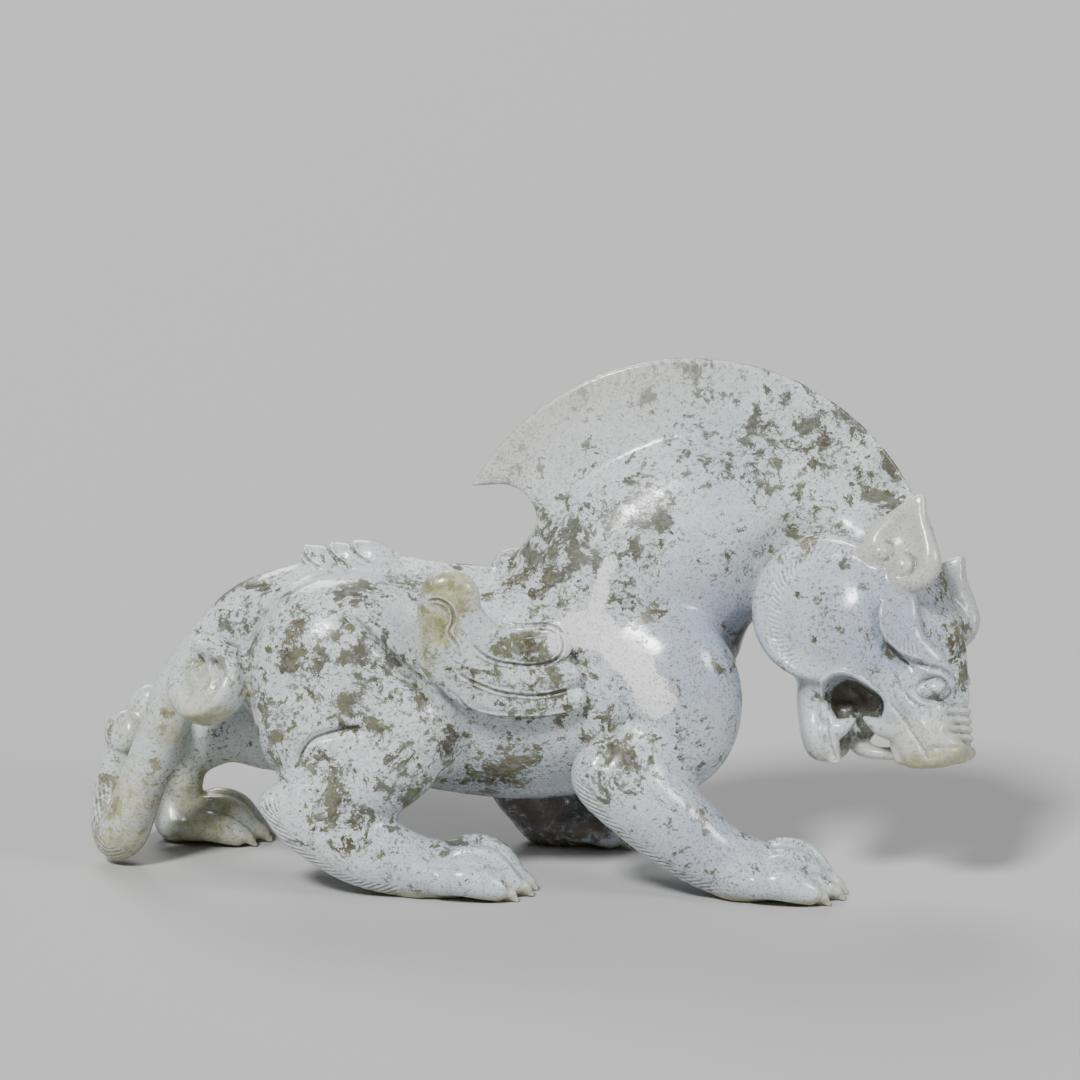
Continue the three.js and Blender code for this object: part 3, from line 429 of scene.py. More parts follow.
EDGES = [
    [[-20.5, 62.3], [-17.3, 62.8], [-14.9, 61], [-14.5, 58.3], [-15.3, 56], [-13.6, 53.2],
     [-12.8, 50]],
    [[-11.6, 55], [-9.4, 51.9], [-6.2, 49.8], [-2.6, 49], [0.6, 48.5], [4.6, 49], [6.9, 50.6],
     [7.4, 52.6], [6.6, 54.4], [4.2, 55.1], [0.4, 54.8], [-3.2, 54.8], [-6.2, 55.9]],
    [[-14.4, 49.6], [-12.6, 46.8], [-9.4, 45.1], [-6, 43.6], [-2.6, 42.8], [1.8, 42.3],
     [5.8, 42.7], [10.4, 44]],
    [[-15.4, 44], [-13.2, 41.6], [-11.2, 39.4], [-7.2, 38], [-1.2, 37.4], [6.8, 37.8],
     [12, 39.4]],
]
for side, ahead, lower in ((-1, 0, 0), (1, 13.5, 5.5)):
    egg([-4 + ahead, 16.5 * side, 45.5 - lower], [14, 6.5, 8], blend=2)
    egg([-14 + ahead, 19 * side, 53 - lower], [5.5, 6.5, 7], blend=2)
    for stations in FEATHERS:
        limb([[x + ahead, (y + 0.4) * side, z - lower, r] for x, y, z, r in stations],
             flat=0.66, blend=1)
    for line in EDGES:
        line = np.array(line) + [ahead, -lower]
        edged_line(line, side, 13, 0.28, 0.34)
        carved_line(line, side, 0.9, 0.12, inner=13)

# Head
# The skull hangs from the neck with its muzzle down and turned to the beast's right. Its
# places are given down the muzzle, out of the forehead, and towards the right cheek.
POLL = np.array([83.6, -5.5, 67.0])
MUZZLE = np.array([0.201, -0.402, -0.894])
BROW = np.array([0.932, -0.202, 0.3])
CHEEK = np.cross(MUZZLE, BROW)
CHEEK /= np.linalg.norm(CHEEK)
HEAD_AXES = np.array([MUZZLE, BROW, CHEEK])
HEAD_HALF = 20
HAIR_RING = (7, -22.2)
JOWL = (8.8, -19.6)


def head_point(a, b, c):
    return POLL + MUZZLE * a + BROW * b + CHEEK * c


def head_places(p):
    return ((p - POLL) @ HEAD_AXES.T).T


def head_egg(centre, radii, **join):
    egg(head_point(*centre), radii, axes=HEAD_AXES, **join)


def head_limb(stations, **join):
    limb([[*head_point(*s[:3]), *s[3:]] for s in stations], side=CHEEK, **join)


def face_line(points, width, depth, step=0, inner=4.0, side=0):
    # A groove on one or both sides of the face, drawn as seen square to the cheek
    line = smooth_path(points, 4)
    reach = groove_reach(width, step)

    def carve(p, near):
        a, b, c = head_places(p)
        cut = groove(np.stack([a, b], 1), line, width, depth, step)
        return np.where((np.abs(c) < inner) | (side * c < 0), 0, cut)
    ends = np.stack([line.min(0) - reach, line.max(0) + reach], 1)
    corners = np.array([head_point(a, b, c) for a in ends[0] for b in ends[1]
                        for c in (-HEAD_HALF, HEAD_HALF)])
    add_groove(corners.min(0), corners.max(0), carve, width)


for side in (1, -1):
    disc(head_point(6.4, -22.4, 20.4 * side), CHEEK, 16.6, 8, 5, cut=True, blend=5)
head_egg([8, -18, 0], [16, 15, 15], blend=5)
head_egg([-5, -10.5, 0], [9, 9, 11.5], blend=5)
for side in (1, -1):
    disc(head_point(*HAIR_RING, 6.6 * side), CHEEK, 15, 8.8, 1.4, blend=0.8)
    disc(head_point(*JOWL, 6 * side), CHEEK, 12, 11.4, 6.4, blend=1.2)
    head_egg([10, -17.4, 8 * side], [12, 11.4, 10.6], blend=3)
    head_egg([26, -13, 6 * side], [9, 8, 7], blend=3)
    head_egg([17.5, -19, 9.6 * side], [8, 10, 5.4], blend=3)

# Face
# The forehead and muzzle are a roof along the middle of the face, narrowing to the nose.
# Its ridge, its breadth and its underside are each given along the muzzle.
RIDGE = np.array([
    [-14, -2.6], [-5, -0.2], [2, 0.8], [14, 1.8], [20, 1.8], [27, 0.6], [34, -0.5], [40, -1.9],
    [48, -3.6],
])
BREADTH = np.array([[-14, 8], [0, 12.4], [18, 12.4], [27, 10], [34, 8.6], [48, 8.2]])
UNDER = np.array([[-14, -14], [24, -18], [30, -15.6], [38, -14.6], [48, -14]])


def face_distance(p, near):
    a, b, c = head_places(p)
    roof = 0.86 * (b - np.interp(a, *RIDGE.T)) + 0.5 * (np.sqrt(c * c + 2) - 1.4)
    flank = np.abs(c) - np.interp(a, *BREADTH.T)
    below = np.interp(a, *UNDER.T) - b
    ends = np.abs(a - 15.4) - 27.4
    d = -smooth_min(-roof, -flank, 4)
    d = -smooth_min(-d, -below, 3)
    return -smooth_min(-d, -ends, 2)


face_centre = head_point(15, -8, 0)
add_form(face_centre - [32, 32, 36], face_centre + [32, 32, 36], face_distance, blend=2.5)

# Jaws
# An open mouth pierced behind the fangs from cheek to cheek, with a tongue curled up
# between the jaws, a bulging lower lip and two pairs of hooked fangs.
head_egg([29.2, -30.6, 0], [8.8, 4.6, 10], blend=1.6)
head_egg([22, -28, 0], [6, 6, 11], blend=3)
for side in (1, -1):
    head_egg([34.6, -11.6, 5.4 * side], [7.4, 4.8, 4.6], blend=1.6)
    head_limb([
        [24, -26.4, 8.6 * side, 1.7], [31, -27.4, 8.4 * side, 1.7], [36.4, -28.6, 6.6 * side, 1.5],
    ])
    head_egg([39.4, -5.4, 4.6 * side], [3, 3.6, 3.6], blend=1.2)
TEETH = head_point(38.2, -15.4, 0)


def teeth_distance(p, near):
    q = np.abs((p - TEETH) @ HEAD_AXES.T) - [1.8, 1.6, 6.4]
    return np.linalg.norm(np.maximum(q, 0), axis=1) + np.minimum(q.max(1), 0) - 0.8


add_form(TEETH - 9, TEETH + 9, teeth_distance, blend=0.8)
for side in (1, -1):
    head_egg([25.6, -22.4, 12 * side], [4.4, 4.4, 9.4], cut=True, blend=1)
    head_egg([28, -18.6, 12 * side], [3.6, 3.6, 9.4], cut=True, blend=1.6)
head_limb([
    [30.5, -21.6, 0, 4.6], [36, -21.6, 0, 5], [50, -21.4, 0, 6.2],
], flat=4, cut=True, blend=1.2)
head_egg([25.5, -21, 0], [6.6, 7, 3], blend=1.5)
head_limb([
    [27, -24.6, 0, 2.8], [31.4, -24.6, 0, 2.4], [34.6, -23.4, 0, 1.9], [36.4, -20.8, 0, 1.6],
    [37.4, -17.4, 0, 1.6],
], flat=1.9, blend=0.8)
for side in (1, -1):
    for fang in (
        [[30.8, -28, 8, 2.2], [30.7, -25.4, 8.6, 1.8], [29.9, -22.2, 8.8, 0.5]],
        [[33.6, -14.4, 7.6, 2.7], [32.6, -17.2, 8.4, 1.9], [30.1, -20, 8.6, 0.5]],
    ):
        head_limb([[a, b, c * side, r] for a, b, c, r in fang], blend=0.5)

# Brows, eyes and nose
# A leaf-shaped brow with a crisp lower edge sweeps from each cheek round an almond eye,
# the lips stand proud of the teeth, and soft wrinkles cross the nose.
for side in (1, -1):
    head_limb([
        [9, -9.9, 15.8 * side, 0.7], [12, -9.5, 15.7 * side, 2], [16, -8.4, 14 * side, 3.3],
        [19.8, -6.6, 12 * side, 3.8], [23.2, -4, 9.8 * side, 3.2], [26.8, -1.6, 6.8 * side, 1.6],
    ], flat=0.62, blend=1.3)
    head_limb([
        [5, -4.6, 13.6 * side, 1.2], [10, -5, 13 * side, 1.5], [15, -5.4, 12.4 * side, 1.2],
    ], blend=3)
    head_egg([36.6, -8.4, 5.6 * side], [6, 4.6, 4.4], blend=2.5)
for along in (32.3, 34.1, 35.9, 37.7):
    top = -1.3 - 0.12 * (along - 33)
    head_limb([[along, -3.8, -5.5, 0.9], [along, top, 0, 1.3], [along, -3.8, 5.5, 0.9]], blend=0.8)
face_line([
    [9, -9.6], [11, -11], [14, -11.7], [17.4, -11.3], [20.4, -9.2], [22.5, -6.3], [23.9, -4],
], 0.55, 1.4, step=-1)
face_line([
    [10, -9.4], [12, -10.2], [14.4, -10.7], [17.2, -10.3], [19.9, -8.3], [21.9, -5.7], [23.3, -3.4],
], 0.45, -0.35)
face_line([
    [21.8, -7], [22.8, -5.6], [24, -3.8], [25.2, -1.6], [27.6, -0.6], [29.6, -1.6],
], 0.55, 0.7)
for side in (1, -1):
    head_egg([27.9, -4.8, 9.4 * side], [1.7, 2.6, 1.7], blend=0.5)
face_line([[28.2, -8.6], [26.4, -7], [25.8, -4.8], [26.3, -2.8], [27.9, -1.8]], 0.35, 0.55)
face_line([[28, -8.2], [29.6, -6.8], [30, -4.8], [29.4, -2.9], [27.8, -2]], 0.35, 0.45)
face_line([[28, -9.2], [30.4, -7.6], [31.2, -5]], 0.4, -0.3)
face_line([[22.4, -11.4], [24.6, -11.2], [27, -10.4], [29.4, -9.4], [31.4, -7.6]], 0.5, 0.4)
face_line([
    [28.4, -13.8], [30.5, -12.7], [32.9, -11.7], [36.2, -10.5], [39.5, -9.5], [42, -9],
], 0.5, 0.9, step=1)
face_line([[28, -26.9], [30, -27.3], [33.5, -27.9], [37.4, -27.6]], 0.45, 0.6, step=-1)
face_line([
    [30, -27.6], [26.4, -27.8], [22.6, -26.4], [20.8, -23.2], [21.8, -19.6], [24.6, -16.8],
    [28.4, -14.6],
], 0.55, -0.55)
for across, ends in ((31.2, -3), (33, -4.6), (34.9, -3.6), (36.6, -5), (38.3, -3.4)):
    halfway = (ends - 1) / 2 - 0.6
    face_line([[across, 1.5], [across + 0.6, -1], [across + 0.3, halfway], [across - 0.4, ends]],
              0.6, 0.75, inner=-1)
face_line([[39.9, -9.4], [39.6, -6.8], [40.2, -4.4], [40.4, -2.4]], 0.5, 0.3, inner=1)


def level_cut(p, near):
    # The jaw's underside is rubbed level, 27 mm above the ground
    return np.maximum(np.abs(p[:, 2] - 20.2) - 6.8, 54 - p[:, 0])


add_form([54, -40, 13.4], [100, 20, 27], level_cut, cut=True, blend=1.6)

# Ears
# Two dished leaves with rolled rims that curl into little scrolls at their base. The far
# one is set lower than the near one.
EAR = np.array([
    [-9.8, 3], [-9.8, 0.4], [-8.7, -3.5], [-7.2, -7.2], [-5.4, -10], [-3, -11.8], [-0.4, -12.2],
    [1.4, -10], [2.4, -7.6], [5.4, -6.9], [8, -4.4], [8.4, -1.4], [6.6, 1.8], [3.6, 3.2],
    [-0.6, 2.6], [-4.6, 2.1], [-7.6, 2.6],
])
EAR_EDGE = 0.8
ear_outline = smooth_path(np.vstack([EAR, EAR[:1]]), 4)


def from_outline(a, b, line):
    # Distance from the ear's outline, negative inside it
    apart, _, _, _ = near_line(np.stack([a, b], 1), line)
    inside = np.zeros(len(a), bool)
    for (ax, ay), (bx, by) in zip(line[:-1], line[1:]):
        crosses = (ay > b) != (by > b)
        inside ^= crosses & (a < ax + (b - ay) / np.where(by == ay, 1, by - ay) * (bx - ax))
    return np.where(inside, -apart, apart)


def ear(side, shift, out):
    line = ear_outline + [shift, 0]

    def distance(p, near):
        a, b, c = head_places(p)
        flat = from_outline(a, b, line) + EAR_EDGE
        return rounded(flat, np.abs(c - out * side) - EAR_EDGE, EAR_EDGE)
    centre = head_point(shift - 1, -4.5, out * side)
    add_form(centre - 14, centre + 14, distance, blend=0.8)
    head_egg([shift - 3.4, -3.4, (out + 4.7) * side], [6.6, 5.8, 4.2], cut=True, blend=1.4)
    for rim in (
        [[-9.4, 2.4, 0.7], [-5.6, 1.5, 1.1], [-1, 1.6, 1.6], [3, 1.3, 2], [6, -0.6, 2],
         [6.5, -3.6, 1.9], [4.8, -5.7, 1.5], [2.4, -5.7, 1.2], [1, -4.4, 1]],
        [[-9.2, 0.8, 0.7], [-7, -3.6, 0.8], [-4.4, -7.8, 1], [-2.2, -10, 1.3], [0, -9.8, 1.2]],
    ):
        head_limb([[a + shift, b, (out + 0.9) * side, r] for a, b, r in rim], steps=4, blend=1.3)
    head_egg([3.1 + shift, -4.2, (out + 1.4) * side], [2.2, 2.2, 1.9], blend=0.4)
    head_egg([-0.9 + shift, -8.3, (out + 1.1) * side], [2.3, 2.1, 2], blend=0.4)
    for arc in (
        [[0.4, -4.6], [0.9, -2.6], [2.8, -1.5], [4.9, -2.4], [5.6, -4.4], [4.9, -6.2]],
        [[-3.2, -6.8], [-1.6, -5.6], [0.6, -6.1], [1.4, -7.8]],
    ):
        face_line(np.array(arc) + [shift, 0], 0.35, 0.4, inner=out - 1, side=side)
    head_egg([3 + shift, -4, (out - 3) * side], [5, 4.5, 3], blend=1.5)


ear(1, 0, 13.6)
ear(-1, 8.4, 12.6)

# The carved surface
# The field is read on a 0.5 mm grid close to the surface only, drawn as a mesh, and
# thinned. The ground cuts the paws' soles flat.
CELL = 0.5
BLOCK = 16
COARSE = 4
COARSE_BLOCK = 12
BAND = 2.2
SOLE_HEIGHT = 0.12
THINNED_TO = 94000
LOW = np.array([-96.0, -40.0, -4.0])
COUNT = np.array([24, 10, 15]) * BLOCK


def field(points, low, high):
    d = np.full(len(points), FAR)
    for form in forms:
        if np.any(form["low"] > high) or np.any(form["high"] < low):
            continue
        if "carve" in form:
            d = d + form["carve"](points, (low, high))
            continue
        own = form["distance"](points, (low, high))
        sign = -1 if form["cut"] else 1
        d = sign * smooth_min(sign * d, own, form["blend"])
    return d


def grid_points(low, cell, n):
    axis = [low[k] + cell * np.arange(n[k]) for k in range(3)]
    return np.stack(np.meshgrid(*axis, indexing="ij"), -1).reshape(-1, 3)


def block_starts(shape, size):
    starts = [np.arange(0, n, size) for n in shape]
    return np.stack(np.meshgrid(*starts, indexing="ij"), -1).reshape(-1, 3)


def span(start, size):
    return tuple(slice(*ends) for ends in zip(start, start + size))


# A first, coarse reading finds the blocks that the surface passes through
coarse_cell = CELL * COARSE
coarse = np.full(COUNT // COARSE + 1, FAR, np.float32)
for start in block_starts(coarse.shape, COARSE_BLOCK):
    n = np.minimum(COARSE_BLOCK, coarse.shape - start)
    low = LOW + start * coarse_cell
    d = field(grid_points(low, coarse_cell, n), low, low + n * coarse_cell)
    coarse[span(start, n)] = d.reshape(n)

fine = np.empty(COUNT, np.float32)
for start in block_starts(COUNT, BLOCK):
    here, around = span(start, BLOCK), coarse[span(start // COARSE, BLOCK // COARSE + 1)]
    if around.min() > BAND or around.max() < -BAND:
        fine[here] = BAND if around.min() > 0 else -BAND
        continue
    low = LOW + start * CELL
    d = field(grid_points(low, CELL, (BLOCK,) * 3), low, low + BLOCK * CELL)
    fine[here] = np.clip(d, -BAND, BAND).reshape((BLOCK,) * 3)

heights = LOW[2] + CELL * np.arange(COUNT[2])
fine = np.maximum(fine, -heights[None, None, :].astype(np.float32))
grid = openvdb.FloatGrid(BAND)
grid.copyFromArray(fine)
points, triangles, quads = grid.convertToPolygons(isovalue=0.0, adaptivity=0.0)
points = points * CELL + LOW
points[points[:, 2] < SOLE_HEIGHT, 2] = 0

carving = bpy.data.meshes.new("jade_beast_carving")
faces = quads.astype(int).tolist() + triangles.astype(int).tolist()
carving.from_pydata(((points + CENTRE_SHIFT) / 1000).tolist(), [], faces)
beast = bpy.data.objects.new("jade_beast_carving", carving)
bpy.context.collection.objects.link(beast)
bpy.ops.object.select_all(action="DESELECT")
beast.select_set(True)
bpy.context.view_layer.objects.active = beast
bpy.ops.object.mode_set(mode="EDIT")
bpy.ops.mesh.select_all(action="SELECT")
bpy.ops.mesh.normals_make_consistent(inside=False)
bpy.ops.object.mode_set(mode="OBJECT")
thin = beast.modifiers.new("thin", "DECIMATE")
thin.ratio = THINNED_TO / (2 * len(quads) + len(triangles))
thin.use_collapse_triangulate = True
bpy.ops.object.modifier_apply(modifier="thin")
bpy.ops.object.shade_smooth()

# Hair lines
# Fine parallel strokes ground into the fringes of the legs, the ring of hair round the
# jowl, the brow, the bend of the tail and the crest's rim. The near side's are cut into
# the mesh, and the far side's are only in the stone's bump. On both sides the colour has
# painted shade in the strokes' grooves and a painted highlight on their ridges.
STROKE_DEPTH = 0.2
NEAR_SIDE = -2
TRIANGLE_LIMIT = 192000
SETTLE_CELL = 8
SETTLE_MOST = 0.35


def carved_places():
    co = np.empty(len(carving.vertices) * 3)
    carving.vertices.foreach_get("co", co)
    return co.reshape(-1, 3) * 1000 - CENTRE_SHIFT


def carved_normals():
    normals = np.empty(len(carving.vertices) * 3)
    carving.vertices.foreach_get("normal", normals)
    return normals.reshape(-1, 3)


FRINGES = [
    # Line in side view, band width, pitch, slant of the strokes, lowest and highest y
    ([[9.3, 27], [8.9, 24], [11.4, 19.4], [16.6, 13.2], [22, 8.6], [31, 2.6], [39, -0.4]],
     4, 0.95, -34, -OUTSIDE, -18),
    ([[-52.6, 22], [-53.6, 17], [-50.4, 11.4], [-45.6, 6.6], [-36, 1.4], [-25, -0.6]],
     4, 0.95, -34, -OUTSIDE, -17),
    ([[-6.4, 20], [-6.2, 14], [-2, 8], [5, 2]], 4, 0.95, -34, 19, OUTSIDE),
    ([[-76, 22], [-79, 14], [-77, 6], [-72, 1]], 4, 0.95, -34, 27, OUTSIDE),
    ([[-82, 2], [-88, 2.6], [-91, 9], [-90, 18]], 3.4, 0.95, 16, -OUTSIDE, OUTSIDE),
    ([[12, 101], [20, 104], [33, 105.4], [44, 104]], 3.6, 1.5, 50, -OUTSIDE, 0),
]


def strokes_at(p):
    # How strong the strokes are at all the mesh's points, and where in the wave each lies
    strength, phase = np.zeros(len(p)), np.zeros(len(p))
    for line, width, pitch, slant, low, high in FRINGES:
        line = smooth_path(line, 5)
        apart, along, length, _ = near_line(p[:, [0, 2]], line)
        own = (1 - soft_step(apart, width * 0.7, width)) * soft_step(along, 0, 3)
        own *= soft_step(length - along, 0, 3)
        own = np.where((p[:, 1] > low) & (p[:, 1] < high), own, 0)
        turn = math.radians(slant)
        own_phase = (along * math.sin(turn) + apart * math.cos(turn)) / pitch
        phase = np.where(own > strength, own_phase, phase)
        strength = np.maximum(strength, own * (0.3 if pitch > 1 else 1))
    strength *= soft_step(np.abs(carved_normals()[:, 1]), 0.3, 0.6)

    a, b, c = head_places(p)
    ring_a, ring_b = a - HAIR_RING[0], b - HAIR_RING[1]
    r, angle = np.hypot(ring_a, ring_b), np.arctan2(ring_a, -ring_b)
    inner_r = np.hypot(a - JOWL[0], b - JOWL[1])
    ring = soft_step(inner_r, 11.6, 12.2) * (1 - soft_step(inner_r, 14, 14.8))
    ring *= 1 - soft_step(r, 13, 13.6)
    ring *= 0.7 * (np.abs(c) > 8) * (np.abs(c) < HEAD_HALF) * (p[:, 2] > 30)
    ring *= soft_step(angle, -2.2, -1.6) * (1 - soft_step(angle, 0.7, 1.2))
    turn = math.radians(48)
    own_phase = (angle * 13.6 * math.sin(turn) + r * math.cos(turn)) / 1.1
    phase = np.where(ring > strength, own_phase, phase)
    strength = np.maximum(strength, ring)

    brow = smooth_path([
        [11.4, -9.4], [13, -10.4], [15.8, -10.6], [18.2, -9.6], [20.4, -7.6], [22.2, -4.8],
    ], 5)
    apart, along, length, turned = near_line(np.stack([a, b], 1), brow)
    own = (1 - soft_step(apart, 1.8, 3)) * (turned > 0) * (np.abs(c) > 6) * (np.abs(c) < HEAD_HALF)
    own *= soft_step(along, 0, 2) * soft_step(length - along, 0, 2) * (p[:, 2] > 30)
    own *= 0.5 * soft_step(along, 6, 9)
    phase = np.where(own > strength, (along * 0.9 + apart * 0.5) / 0.9, phase)
    return np.maximum(strength, own), phase


def fine_places(p):
    # Which points lie in a fine carved line or a band of strokes on the near side
    reached = (strokes_at(p)[0] > 0.12) & (p[:, 1] < NEAR_SIDE)
    for form in forms:
        if form.get("fine"):
            inside = np.flatnonzero(np.all((p > form["low"]) & (p < form["high"]), axis=1))
            if len(inside):
                reached[inside] |= np.abs(form["carve"](p[inside], None)) > 0.06
    near_side = np.where(p[:, 0] > 56, (p - POLL) @ CHEEK > -1, p[:, 1] < 1)
    return reached & near_side


def place_all(places):
    carving.vertices.foreach_set("co", ((places + CENTRE_SHIFT) / 1000).ravel())
    carving.update()


def settle():
    # Moves every point along its normal onto the exact surface
    places, normals = carved_places(), carved_normals()
    cells = np.floor(places / SETTLE_CELL).astype(int)
    order = np.lexsort(cells.T)
    breaks = np.flatnonzero(np.any(np.diff(cells[order], axis=0), axis=1)) + 1
    for group in np.split(order, breaks):
        q = places[group]
        d = np.maximum(field(q, q.min(0), q.max(0)), -q[:, 2])
        places[group] = q - normals[group] * np.clip(d, -SETTLE_MOST, SETTLE_MOST)[:, None]
    place_all(places)


settle()
for longest in (0.6, 0.36):
    # Faces in reach whose longest edge is longer than this, in mm, the longest first
    reached = fine_places(carved_places())
    corners = np.empty(len(carving.polygons) * 3, int)
    carving.polygons.foreach_get("vertices", corners)
    corners = corners.reshape(-1, 3)
    at_corners = carved_places()[corners]
    longest_edge = np.linalg.norm(at_corners - np.roll(at_corners, 1, axis=1), axis=2).max(1)
    wanted = np.flatnonzero(reached[corners].any(1) & (longest_edge > longest))
    room = (TRIANGLE_LIMIT - len(corners)) // 4
    chosen = np.zeros(len(corners), bool)
    chosen[wanted[np.argsort(-longest_edge[wanted], kind="stable")[:room]]] = True
    bpy.ops.object.mode_set(mode="EDIT")
    bpy.ops.mesh.select_mode(type="FACE")
    bpy.ops.mesh.select_all(action="DESELECT")
    bpy.ops.object.mode_set(mode="OBJECT")
    carving.polygons.foreach_set("select", chosen)
    bpy.ops.object.mode_set(mode="EDIT")
    bpy.ops.mesh.subdivide(number_cuts=1)
    bpy.ops.mesh.select_all(action="SELECT")
    bpy.ops.mesh.quads_convert_to_tris()
    bpy.ops.object.mode_set(mode="OBJECT")
    settle()

places = carved_places()
strength, phase = strokes_at(places)
cut = STROKE_DEPTH * np.where(places[:, 1] < NEAR_SIDE, strength, 0)
cut *= (0.5 + 0.5 * np.cos(2 * math.pi * phase)) ** 1.5
place_all(places - carved_normals() * cut[:, None])

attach(beast, "root")
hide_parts("jade_beast")

# Jade skin
# Nephrite whose polished surface has turned to a pale, faintly blue skin. It is worn
# through to olive stone in ragged patches, specked with grey, and still ivory or clear
# yellow at the ears, muzzle, claws, wing tip, tail and soles.


def spots(p, *marks):
    # How strongly points belong to soft round areas, each x, y, z, radius and strength
    value = np.zeros(len(p))
    for x, y, z, r, most in marks:
        away = np.linalg.norm((p - [x, y, z]) * [1, 0.6, 1], axis=1)
        value = np.maximum(value, most * (1 - soft_step(away, 0.1 * r, r)))
    return value


def mark(name, value):
    layer = carving.attributes.new(name, "FLOAT", "POINT")
    layer.data.foreach_set("value", value.astype(np.float32))


p = carved_places()
a, b, c = head_places(p)
on_head = (a > -14) & (b > -40) & (p[:, 0] > 50) & (p[:, 2] > 22)
ear_share = np.zeros(len(p))
for side, shift, out in ((1, 0, 11.6), (-1, 8.4, 10.6)):
    from_leaf = from_outline(a, b, ear_outline + [shift, 0])
    leaf = (1 - soft_step(from_leaf, 0.2, 1.4)) * soft_step(side * c, out, out + 1)
    ear_share = np.maximum(ear_share, leaf * on_head)
lips = np.where(on_head, soft_step(a, 30, 36), 0)
claws = np.zeros(len(p))
for tip in claw_tips:
    claws = np.maximum(claws, 1 - soft_step(np.linalg.norm(p - tip, axis=1), 2.4, 3.6))
crest_rim = soft_step(np.hypot(p[:, 0] - CREST_CENTRE[0], p[:, 2] - CREST_CENTRE[1]), 34, 50)
crest_rim *= (p[:, 2] > 70) * (1 - soft_step(p[:, 0], 20, 48))
mark("ivory", np.maximum.reduce([
    ear_share, lips * 0.9, claws, 0.75 * crest_rim,
    spots(p, (-78, 12, 28, 11, 0.7), (-65, -14, 42, 11, 0.75)),
]))
near_ground = 1 - soft_step(p[:, 2], 0.2, 3)
mark("amber", np.maximum.reduce([
    1.2 * near_ground, 0.8 * np.where(on_head, soft_step(a, 37.5, 41), 0),
    spots(
        p,
        (-15, -27, 64, 10, 1), (-18, -27, 57, 9, 1), (-20, -27, 50, 6, 0.6),
        (-80, -2, 14, 22, 0.65), (-72, -10, 36, 9, 0.7), (-68, 26, 7, 24, 0.8),
        (-83, 4, 4, 14, 0.95), (-48, 20, 28, 14, 0.5), (-65, -13, 34, 11, 1.15),
        (-56, -10, 41, 7, 0.9), (-66, -14, 44, 9, 0.5), (-74, 0, 30, 11, 0.7),
        (-82, 13, 27, 9, 0.7),
    ),
]))
# The rust mark is brown iron stain at the far forefoot and the throat; inside the mouth and under
# the tongue it is painted shade
in_jaws = (a > 18) & (np.abs(c) < 8.4)
inside_mouth = np.where(in_jaws, 1 - soft_step(np.hypot(a - 27, b + 21.4), 5.4, 8), 0)
under_tongue = np.where(np.abs(c) < 7.6, 1 - soft_step(np.hypot(a - 34.5, b + 25.4), 2, 4), 0)
inside_mouth = np.where(on_head, np.maximum(inside_mouth, under_tongue), 0)
mark("rust_and_mouth_shade", np.maximum(0.3 * inside_mouth, spots(
    p, (4, 18, 12, 26, 0.9), (-4, 18, 18, 14, 0.8), (14, 20, 5, 14, 0.8), (44, 2, 50, 12, 0.9),
    (48, 4, 60, 10, 0.7),
)))
VEIN = [[7.4, 53.4], [13, 55.6], [16.6, 52.4], [20.8, 49.4], [24, 45.4], [26.4, 41]]
BRANCH = np.array([[13.6, 56], [14.4, 61], [16.8, 67.4]])
from_vein = near_line(p[:, [0, 2]], smooth_path(VEIN, 4))[0]
from_vein = np.minimum(from_vein, 1.8 + near_line(p[:, [0, 2]], BRANCH)[0])
white_vein = 1.25 * (1 - soft_step(from_vein, 0.4, 5.4)) * (p[:, 1] < -6)
mark("chalk", np.maximum(white_vein, spots(p, (-24, 0, 65, 9, 0.6))))
mark("bare", np.maximum(0.95 * inside_mouth, spots(
    p,
    (-38, -20, 50, 26, 0.55), (-40, -22, 30, 20, 0.55), (-34, -20, 12, 18, 0.45),
    (-20, -14, 60, 18, 0.62), (-60, -4, 52, 14, 0.6), (-62, 0, 60, 12, 0.6),
    (2, -14, 72, 22, 0.72), (-4, 0, 80, 20, 0.55), (10, 0, 92, 22, 0.38), (24, 0, 102, 16, 0.25),
    (34, 0, 98, 14, 0.15), (60, 0, 92, 24, 0.7), (72, -4, 84, 16, 0.8), (22, -18, 76, 20, 0.5),
    (4, -24, 46, 20, 0.85), (20, -22, 32, 16, 0.6), (14, -22, 62, 16, 0.6),
    (-8, -14, 26, 20, 0.55), (26, -20, 22, 14, 0.4), (46, -24, 10, 16, 0.25),
    (-10, -22, 8, 14, 0.3), (-84, 2, 12, 14, 0.4), (-25, -26, 28, 11, 1), (-30, -28, 34, 9, 0.95),
    (-49, -22, 36, 10, 0.8), (-46, -20, 58, 10, 0.85), (-32, -18, 61, 10, 0.85),
    (-40, -24, 20, 9, 0.85), (-28, -22, 49, 6, 0.9), (8, -22, 66, 9, 1), (0, -20, 72, 10, 0.95),
    (24, -22, 60, 7, 0.7), (-2, -28, 50, 9, 1), (8, -28, 40, 10, 1), (58, -4, 93, 12, 0.95),
    (70, -6, 84, 12, 0.95), (86, -14, 62, 9, 0.95), (90, -12, 52, 9, 0.8), (92, -14, 44, 7, 0.7),
    (84, -20, 58, 6, 0.8), (-40, 26, 50, 28, 0.6), (-40, 26, 28, 20, 0.6), (4, 20, 66, 24, 0.65),
    (8, 24, 44, 22, 0.7), (34, 20, 66, 18, 0.5), (26, 24, 34, 18, 0.5), (-68, 24, 16, 12, 0.4),
    (72, 8, 72, 14, 0.5),
)))
mark("cool", spots(
    p,
    (36, -12, 50, 30, 1), (40, -20, 14, 26, 0.9), (72, -20, 56, 26, 1), (0, -10, 22, 26, 0.7),
    (-20, -20, 10, 22, 0.6), (40, 0, 86, 16, 0.5), (36, 14, 50, 30, 1), (10, 22, 10, 20, 0.6),
    (72, 6, 56, 20, 0.8),
))


